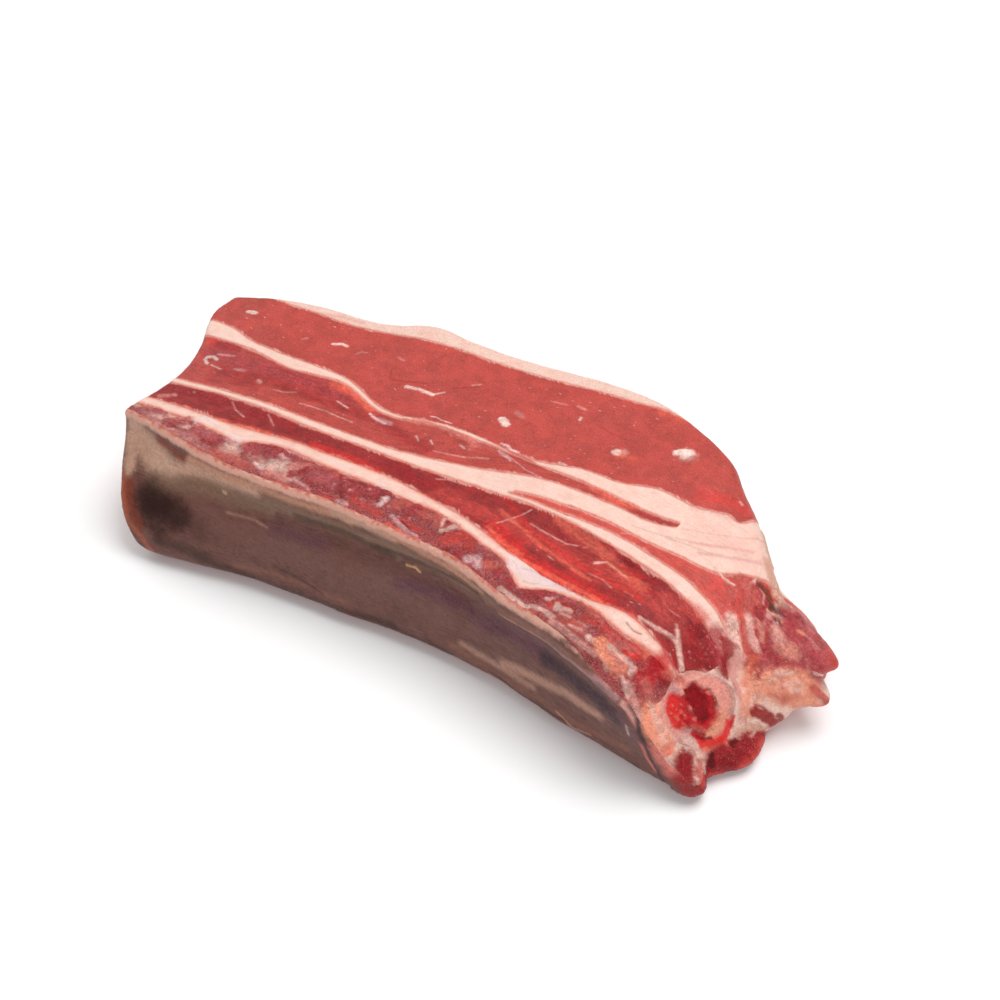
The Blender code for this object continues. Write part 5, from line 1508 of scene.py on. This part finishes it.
def feather_effect():
    """Slanted hairs of one tissue that reach across a seam into its neighbour."""

    def fill(w, given):
        x, y, z = w.add("SeparateXYZ", {0: given["Flow"]}).outputs
        slanted = w.joined(w.plus(x, w.times(y, 1.1)), w.times(y, 0.22), z)
        hairs = w.noise(slanted, given["Size"], 2.0, 0.6)
        waves = w.noise(given["Flow"], 4.5, 2.0)
        patchy = w.rise(w.noise(given["Flow"], 9.0, 1.0), 0.38, 0.66, 0.3, 4.2)
        push = w.times(w.minus(hairs, 0.45), patchy)
        push = w.plus(push, w.times(w.minus(waves, 0.5), 2.2))
        left = w.minus(given["Edge"], w.times(push, given["Reach"]))
        return (w.rise(left, -0.3, 0.9, 1.0, 0.0),)

    inputs = {"Flow": ORIGIN, "Edge": 0.0, "Reach": 1.0, "Size": 1.1}
    return effect("Feathered edge", inputs, {"Mask": float}, fill)


# How all the tissues take light: the coat of moisture, and how far light goes in, by colour.
COAT_ROUGHNESS, SPECULAR = 0.12, 0.16
LIGHT_DEPTH, LIGHT_SHARES = 0.0022, (1.0, 0.28, 0.18)
MUSCLE_SOFTNESS, FAT_SOFTNESS = 0.12, 0.25
# How much a glossy mark takes off the roughness.
MARK_GLOSS = 0.25


def new_material(name):
    made = bpy.data.materials.new(name)
    made.use_nodes = True
    wiring = Wiring(made.node_tree)
    shader = made.node_tree.nodes["Principled BSDF"]
    raw = wiring.add("TexCoord").outputs["Object"]
    return made, wiring, shader, wiring.vector("MULTIPLY", raw, (1 / MM,) * 3)


def finish_surface(wiring, shader, place, colour, detail, roughness, heights, look, soft):
    """Joins colour, gloss and bumps to the shader. heights are (socket, depth in mm) pairs."""
    marks = wiring.add("Attribute", attribute_name="paint").outputs
    shine = wiring.attribute("gloss")
    laid = use(
        wiring, marks_effect(), base=colour, paint=marks["Color"], strength=marks["Alpha"],
        gloss=shine, grain=look["shadow"], detail=detail, place=place,
    )
    total = None
    for socket, depth in heights:
        part = wiring.times(socket, depth * MM)
        total = part if total is None else wiring.plus(total, part)
    bump = wiring.add("Bump", {"Strength": 1.0, "Distance": 1.0, "Height": total})
    polished = wiring.minus(roughness, wiring.times(shine, MARK_GLOSS), clamp=True)
    finish = {
        "Base Color": laid["Color"], "Roughness": polished, "Normal": bump.outputs["Normal"],
        "Coat Weight": look["wet"], "Coat Roughness": COAT_ROUGHNESS,
        "Specular IOR Level": SPECULAR, "Subsurface Weight": soft,
        "Subsurface Radius": LIGHT_SHARES, "Subsurface Scale": LIGHT_DEPTH,
    }
    for label, value in finish.items():
        wiring.feed(shader.inputs[label], value)


def muscle_material(name, light, dark, look):
    """Lean meat: mottled grain, cracks, fat veins and specks, and feathered next to the seams."""
    made, w, shader, place = new_material(name)
    flow, edge = w.attribute("flow", "Vector"), w.attribute("edge")
    fibres = use(w, fibre_effect(), flow=flow, length=look["length"], width=look["width"])
    streaks = fibres["Streaks"]
    tone = w.shared(look["streaks"], streaks, w.noise(place, look["mottle"], 5.0, 0.62))
    colour = w.mix(w.rise(tone, 0.38, 0.62), dark, light)
    grain = w.noise(place, 0.45, 3.0, 0.65)
    colour = w.mix(w.rise(grain, 0.35, 0.70, 0.0, look["grain"]), colour, look["pale"])
    cracks = use(
        w, marbling_effect(), place=place, spacing=look["spacing"] * 1.4, thickness=0.03,
        coverage=look["cracks"],
    )["Mask"]
    colour = w.mix(w.times(cracks, 0.7), colour, look["deep"])
    fringe = w.plus(edge, w.times(streaks, look["fringe"]))
    near = w.rise(fringe, 0.3, 0.3 + look["fringe"], look["tint"], 0.0)
    colour = w.mix(near, colour, look["edge"])
    veins = use(
        w, marbling_effect(), place=place, spacing=look["spacing"], thickness=look["vein"],
        coverage=look["marbling"],
    )["Mask"]
    stretched = w.vector("MULTIPLY", flow, (0.55, 1.2, 1.0))
    specks = use(
        w, fleck_effect(), place=stretched, coverage=look["specks"], size=0.27, spacing=1.5
    )["Mask"]
    tongues = use(
        w, feather_effect(), flow=flow, edge=edge, reach=look["reach"], size=look["tongue"]
    )["Mask"]
    fat = w.larger(w.times(veins, 0.6), w.times(specks, 0.6))
    fat = w.larger(fat, w.times(tongues, 0.85))
    colour = w.mix(fat, colour, look["fat"])
    damp = w.noise(place, 2.6, 3.0, 0.6)
    roughness = w.rise(damp, 0.35, 0.7, look["gloss"], look["gloss"] + 0.20)
    heights = (
        (streaks, look["relief"]), (grain, look["wrinkle"]), (cracks, -0.12), (fat, 0.08),
    )
    lively = w.times(w.rise(tone, 0.38, 0.62, 0.78, 1.2), w.rise(cracks, 0.0, 1.0, 1.0, 0.5))
    finish_surface(
        w, shader, place, colour, lively, roughness, heights, look, MUSCLE_SOFTNESS
    )
    return made


def fat_material(name, light, dark, look):
    """Fat: soft grains or long fine lines, with pinkish stains and tongues of red at the seams."""
    made, w, shader, place = new_material(name)
    flow, edge = w.attribute("flow", "Vector"), w.attribute("edge")
    lines = use(
        w, fibre_effect(), flow=flow, length=look["length"], width=look["width"], bend=2.0
    )["Streaks"]
    grains = use(w, lobule_effect(), place=place, size=look["lobule"])
    tone = w.shared(look["lines"], lines, grains["Tone"])
    colour = w.mix(w.rise(tone, 0.25, 0.62), dark, light)
    stain = w.rise(w.noise(place, 5.0, 4.0, 0.62), 0.48, 0.70, 0.0, look["stain"])
    colour = w.mix(stain, colour, look["stained"])
    near = w.rise(edge, *look["fade"], look["tint"], 0.0)
    colour = w.mix(near, colour, look["edge"])
    tongues = use(w, feather_effect(), flow=flow, edge=edge, reach=look["reach"])["Mask"]
    colour = w.mix(w.times(tongues, 0.8), colour, look["meat"])
    roughness = w.rise(w.noise(place, 3.0), 0.35, 0.7, look["gloss"], look["gloss"] + 0.18)
    heights = ((lines, 0.16 * look["lines"]), (grains["Height"], look["relief"]))
    lively = w.rise(tone, 0.25, 0.62, 0.88, 1.06)
    finish_surface(w, shader, place, colour, lively, roughness, heights, look, FAT_SOFTNESS)
    return made


# The looks: sizes in mm, colours, and shares from 0 to 1.
MUSCLE = {
    "length": 9.0, "width": 0.9, "streaks": 0.5, "spacing": 6.0, "vein": 0.04, "marbling": 0.40,
    "specks": 0.22, "fringe": 2.2, "tint": 0.5, "edge": (0.62, 0.09, 0.05),
    "fat": (0.76, 0.38, 0.32), "gloss": 0.42, "relief": 0.14, "wet": 0.05, "mottle": 4.5,
    "grain": 0.35, "pale": (0.62, 0.14, 0.11), "deep": (0.20, 0.015, 0.014), "cracks": 0.35,
    "reach": 0.5, "shadow": 0.3, "wrinkle": 0.12, "tongue": 1.1,
}
DARK_MUSCLE = dict(
    MUSCLE, fringe=3.2, tint=0.75, edge=(0.60, 0.050, 0.030), gloss=0.34, wet=0.06, reach=0.9,
    pale=(0.48, 0.06, 0.055), deep=(0.10, 0.006, 0.006), marbling=0.2, specks=0.14, wrinkle=0.3,
)
FAT = {
    "length": 16.0, "width": 0.6, "lobule": 1.5, "lines": 0.85, "stain": 0.3,
    "stained": (0.74, 0.36, 0.29), "edge": (0.72, 0.30, 0.23), "tint": 0.45, "gloss": 0.42,
    "relief": 0.10, "wet": 0.08, "reach": 0.35, "meat": (0.55, 0.09, 0.06), "fade": (0.0, 1.6),
    "shadow": 0.05,
}
LUMPY_FAT = dict(FAT, lines=0.1, relief=0.3, reach=0.0, shadow=0.08)
# How much of the fat's red, green and blue is left in its pinker streaks.
PINKISH = (0.96, 0.85, 0.81)

# The finish of each piece: the material, the setting with its colour, its light tone as a share of
# that colour, its dark tone as a share of the light one, and its look.
FINISHES = {
    "outer_muscle": (muscle_material, "muscle_colour", 1.0, 0.76, dict(
        MUSCLE, streaks=0.12, length=3.0, relief=0.06, specks=0.26, reach=0.7, spacing=4.5,
        marbling=0.25, mottle=7.0,
    )),
    "middle_muscle": (muscle_material, "muscle_colour", 1.0, 0.66, MUSCLE),
    "wedge_muscle": (muscle_material, "muscle_colour", 1.3, 0.66, dict(
        MUSCLE, edge=(0.80, 0.17, 0.10), tint=0.7, fringe=3.0,
    )),
    "intercostal_muscle": (muscle_material, "dark_muscle_colour", 1.0, 0.55, dict(
        DARK_MUSCLE, spacing=1.9, cracks=0.5, specks=0.3, grain=0.6, wrinkle=0.6,
        pale=(0.66, 0.22, 0.21), marbling=0.55, vein=0.08, fat=(0.74, 0.38, 0.37), wet=0.2,
    )),
    "inner_muscle": (muscle_material, "dark_muscle_colour", 1.0, 0.55, dict(
        DARK_MUSCLE, reach=1.1, tongue=0.8,
    )),
    "floor_muscle": (muscle_material, "dark_muscle_colour", 1.0, 0.55, DARK_MUSCLE),
    "bone_marrow": (muscle_material, "marrow_colour", 1.0, 0.25, dict(
        MUSCLE, length=1.0, width=1.0, relief=0.5, gloss=0.45, wet=0.02, tint=0.0, reach=0.0,
    )),
    "inner_fat_seam": (fat_material, "fat_colour", 1.0, PINKISH, dict(
        FAT, tint=0.85, edge=(0.68, 0.24, 0.17), reach=0.6, fade=(0.0, 2.2), stain=0.45,
    )),
    "branching_fat_seam": (fat_material, "fat_colour", 1.0, PINKISH, dict(
        FAT, tint=0.7, edge=(0.74, 0.32, 0.24), fade=(0.0, 1.3),
    )),
    "end_fat_lump": (fat_material, "fat_colour", 1.0, PINKISH, LUMPY_FAT),
    "bone_bed": (fat_material, "fat_colour", 1.0, PINKISH, LUMPY_FAT),
    "fat_cover": (fat_material, "fat_colour", 1.0, PINKISH, dict(
        FAT, stain=0.55, relief=0.2, shadow=0.1, stained=(0.76, 0.42, 0.34),
    )),
    "rib_bone": (fat_material, "bone_colour", 1.0, 0.8, dict(
        FAT, lines=0.2, lobule=0.5, stain=0.5, reach=0.0, tint=0.0, shadow=0.16,
    )),
    "rib_membrane": (fat_material, "membrane_colour", 1.0, 0.6, dict(
        FAT, lines=0.9, lobule=4.0, stain=0.5, stained=(0.10, 0.04, 0.035), gloss=0.34, wet=0.1,
        tint=1.0, reach=0.0, edge=(0.66, 0.35, 0.27), fade=(1.6, 3.8), shadow=0.15,
    )),
}


def toned(colour, share):
    """The colour at a share of itself, or with a share each for red, green and blue."""
    shares = share if isinstance(share, tuple) else (share,) * 3
    return tuple(value * part for value, part in zip(colour, shares))


def material_for(name, settings):
    make, setting, light_share, dark_share, look = FINISHES[name]
    light = toned(getattr(settings, setting), light_share)
    return make(name, light, toned(light, dark_share), look)


SHARP_ANGLE = math.radians(50)


def add_piece(name, settings):
    """Adds one finished piece, which stands for the CAD node of the same name."""
    mesh = solid(name, settings).copy()
    mesh.materials.clear()
    painted(mesh, name, settings)
    mesh.shade_smooth()
    mesh.set_sharp_from_angle(angle=SHARP_ANGLE)
    mesh.materials.append(material_for(name, settings))
    piece = add_object(f"raw_{name}", mesh)
    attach(piece, "root")
    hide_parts(name)


def colour_setting(name, description, default):
    return bpy.props.FloatVectorProperty(
        name=name, description=description, default=default, subtype="COLOR", size=3, min=0.0,
        max=1.0,
    )


class ShortRibSettings(bpy.types.PropertyGroup):
    """Sizes and colours of the short rib."""

    spacing: bpy.props.FloatProperty(
        name="Point spacing", description="Distance in mm between points of the top cut",
        default=0.48, min=0.3, max=3.0,
    )
    seed: bpy.props.IntProperty(
        name="Seed", description="Changes the small unevenness", default=5, min=0
    )
    relief: bpy.props.FloatProperty(
        name="Relief", description="Strength of the small swells and lumps", default=1.0,
        min=0.0, max=2.0, subtype="FACTOR",
    )
    muscle_colour: colour_setting(
        "Muscle", "Colour of the outer muscles", (0.49, 0.060, 0.048)
    )
    dark_muscle_colour: colour_setting(
        "Dark muscle", "Colour of the muscles at the rib", (0.35, 0.022, 0.023)
    )
    fat_colour: colour_setting("Fat", "Colour of the fat", (0.80, 0.56, 0.48))
    bone_colour: colour_setting("Bone", "Colour of the sawn bone", (0.60, 0.27, 0.22))
    marrow_colour: colour_setting("Marrow", "Colour of the marrow", (0.30, 0.012, 0.010))
    membrane_colour: colour_setting("Membrane", "Colour of the membrane", (0.17, 0.070, 0.055))
    floor_colour: colour_setting("Floor", "Colour of the studio floor", (0.90, 0.90, 0.90))


class ShortRibPieceOperator:
    """What the piece operators share: the names of the pieces they add."""

    names = ()

    def execute(self, context):
        for name in self.names:
            add_piece(name, context.scene.short_rib)
        return {"FINISHED"}


class SHORTRIB_OT_membrane(ShortRibPieceOperator, bpy.types.Operator):
    """Adds the membrane on the rib side"""

    bl_idname = "short_rib.membrane"
    bl_label = "Membrane"
    names = ("rib_membrane",)


class SHORTRIB_OT_bone(ShortRibPieceOperator, bpy.types.Operator):
    """Adds the rib bone and its marrow"""

    bl_idname = "short_rib.bone"
    bl_label = "Bone and marrow"
    names = ("rib_bone", "bone_marrow")


class SHORTRIB_OT_dark_muscles(ShortRibPieceOperator, bpy.types.Operator):
    """Adds the dark muscles beside and under the rib"""

    bl_idname = "short_rib.dark_muscles"
    bl_label = "Dark muscles"
    names = ("intercostal_muscle", "inner_muscle", "floor_muscle")


class SHORTRIB_OT_fat(ShortRibPieceOperator, bpy.types.Operator):
    """Adds the fat seams, the fat around the bone, the fat lump and the fat cover"""

    bl_idname = "short_rib.fat"
    bl_label = "Fat"
    names = ("inner_fat_seam", "bone_bed", "branching_fat_seam", "end_fat_lump", "fat_cover")


class SHORTRIB_OT_muscles(ShortRibPieceOperator, bpy.types.Operator):
    """Adds the three outer muscles"""

    bl_idname = "short_rib.muscles"
    bl_label = "Outer muscles"
    names = ("wedge_muscle", "middle_muscle", "outer_muscle")


AIM = Vector((0.01527, -0.00641, 0.045))
VIEW_TURN, VIEW_RISE, VIEW_DISTANCE = math.radians(36), math.radians(45), 0.5712
LENS, SENSOR, CLIP_START, CLIP_END = 60.0, 36.0, 0.01, 20.0
FLOOR_HALF, FLOOR_ROUGHNESS = 2.5, 0.8
SKY_STRENGTH = 0.37
# The lamps: place, size and power.
LAMPS = {
    "overhead": ((0.15, 0.30, 0.95), 0.7, 8.0),
    "window": ((-0.80, 0.20, 0.60), 0.6, 2.4),
    "front_fill": ((0.55, -0.70, 0.45), 0.8, 3.8),
}


class SHORTRIB_OT_stage(bpy.types.Operator):
    """Adds the pale floor, the soft studio light and the camera"""

    bl_idname = "short_rib.stage"
    bl_label = "Studio"

    def execute(self, context):
        scene = context.scene
        mesh = bpy.data.meshes.new("floor")
        corners = ((-1, -1, 0), (1, -1, 0), (1, 1, 0), (-1, 1, 0))
        mesh.from_pydata([Vector(corner) * FLOOR_HALF for corner in corners], [], [(0, 1, 2, 3)])
        made = bpy.data.materials.new("pale floor")
        made.use_nodes = True
        shader = made.node_tree.nodes["Principled BSDF"]
        shader.inputs["Base Color"].default_value = (*scene.short_rib.floor_colour, 1.0)
        shader.inputs["Roughness"].default_value = FLOOR_ROUGHNESS
        mesh.materials.append(made)
        floor = add_object("floor", mesh)
        for name, (place, size, power) in LAMPS.items():
            light = bpy.data.lights.new(name, "AREA")
            light.shape, light.size, light.energy = "SQUARE", size, power
            lamp = add_object(name, light)
            lamp.location = place
            lamp.rotation_euler = (AIM - Vector(place)).to_track_quat("-Z", "Y").to_euler()
        world = bpy.data.worlds.new("studio")
        world.use_nodes = True
        sky = world.node_tree.nodes["Background"]
        sky.inputs["Color"].default_value = (1.0, 1.0, 1.0, 1.0)
        sky.inputs["Strength"].default_value = SKY_STRENGTH
        scene.world = world
        scene.view_settings.view_transform = "Standard"
        camera = add_object("camera", bpy.data.cameras.new("camera"))
        camera.data.lens, camera.data.sensor_width = LENS, SENSOR
        camera.data.clip_start, camera.data.clip_end = CLIP_START, CLIP_END
        level_part, up_part = math.cos(VIEW_RISE), math.sin(VIEW_RISE)
        turn_x, turn_y = math.sin(VIEW_TURN), -math.cos(VIEW_TURN)
        back = Vector((turn_x * level_part, turn_y * level_part, up_part))
        camera.location = AIM + back * VIEW_DISTANCE
        camera.rotation_euler = (-back).to_track_quat("-Z", "Y").to_euler()
        scene.camera = camera
        return {"FINISHED"}


OPERATORS = (
    SHORTRIB_OT_membrane, SHORTRIB_OT_bone, SHORTRIB_OT_dark_muscles, SHORTRIB_OT_fat,
    SHORTRIB_OT_muscles, SHORTRIB_OT_stage,
)


class SHORTRIB_PT_panel(bpy.types.Panel):
    """Lists the short rib's settings and operators"""

    bl_label = "Short rib"
    bl_idname = "SHORTRIB_PT_panel"
    bl_space_type = "VIEW_3D"
    bl_region_type = "UI"
    bl_category = "Short rib"

    def draw(self, context):
        settings = context.scene.short_rib
        for name in settings.bl_rna.properties.keys():
            if name not in ("rna_type", "name"):
                self.layout.prop(settings, name)
        for operator in OPERATORS:
            self.layout.operator(operator.bl_idname)


def register():
    bpy.utils.register_class(ShortRibSettings)
    bpy.types.Scene.short_rib = bpy.props.PointerProperty(type=ShortRibSettings)
    for made in (*OPERATORS, SHORTRIB_PT_panel):
        bpy.utils.register_class(made)


def unregister():
    for made in (SHORTRIB_PT_panel, *reversed(OPERATORS)):
        bpy.utils.unregister_class(made)
    del bpy.types.Scene.short_rib
    bpy.utils.unregister_class(ShortRibSettings)


def main():
    register()
    bpy.ops.short_rib.membrane()
    bpy.ops.short_rib.bone()
    bpy.ops.short_rib.dark_muscles()
    bpy.ops.short_rib.fat()
    bpy.ops.short_rib.muscles()
    bpy.ops.short_rib.stage()


if __name__ == "__main__":
    main()
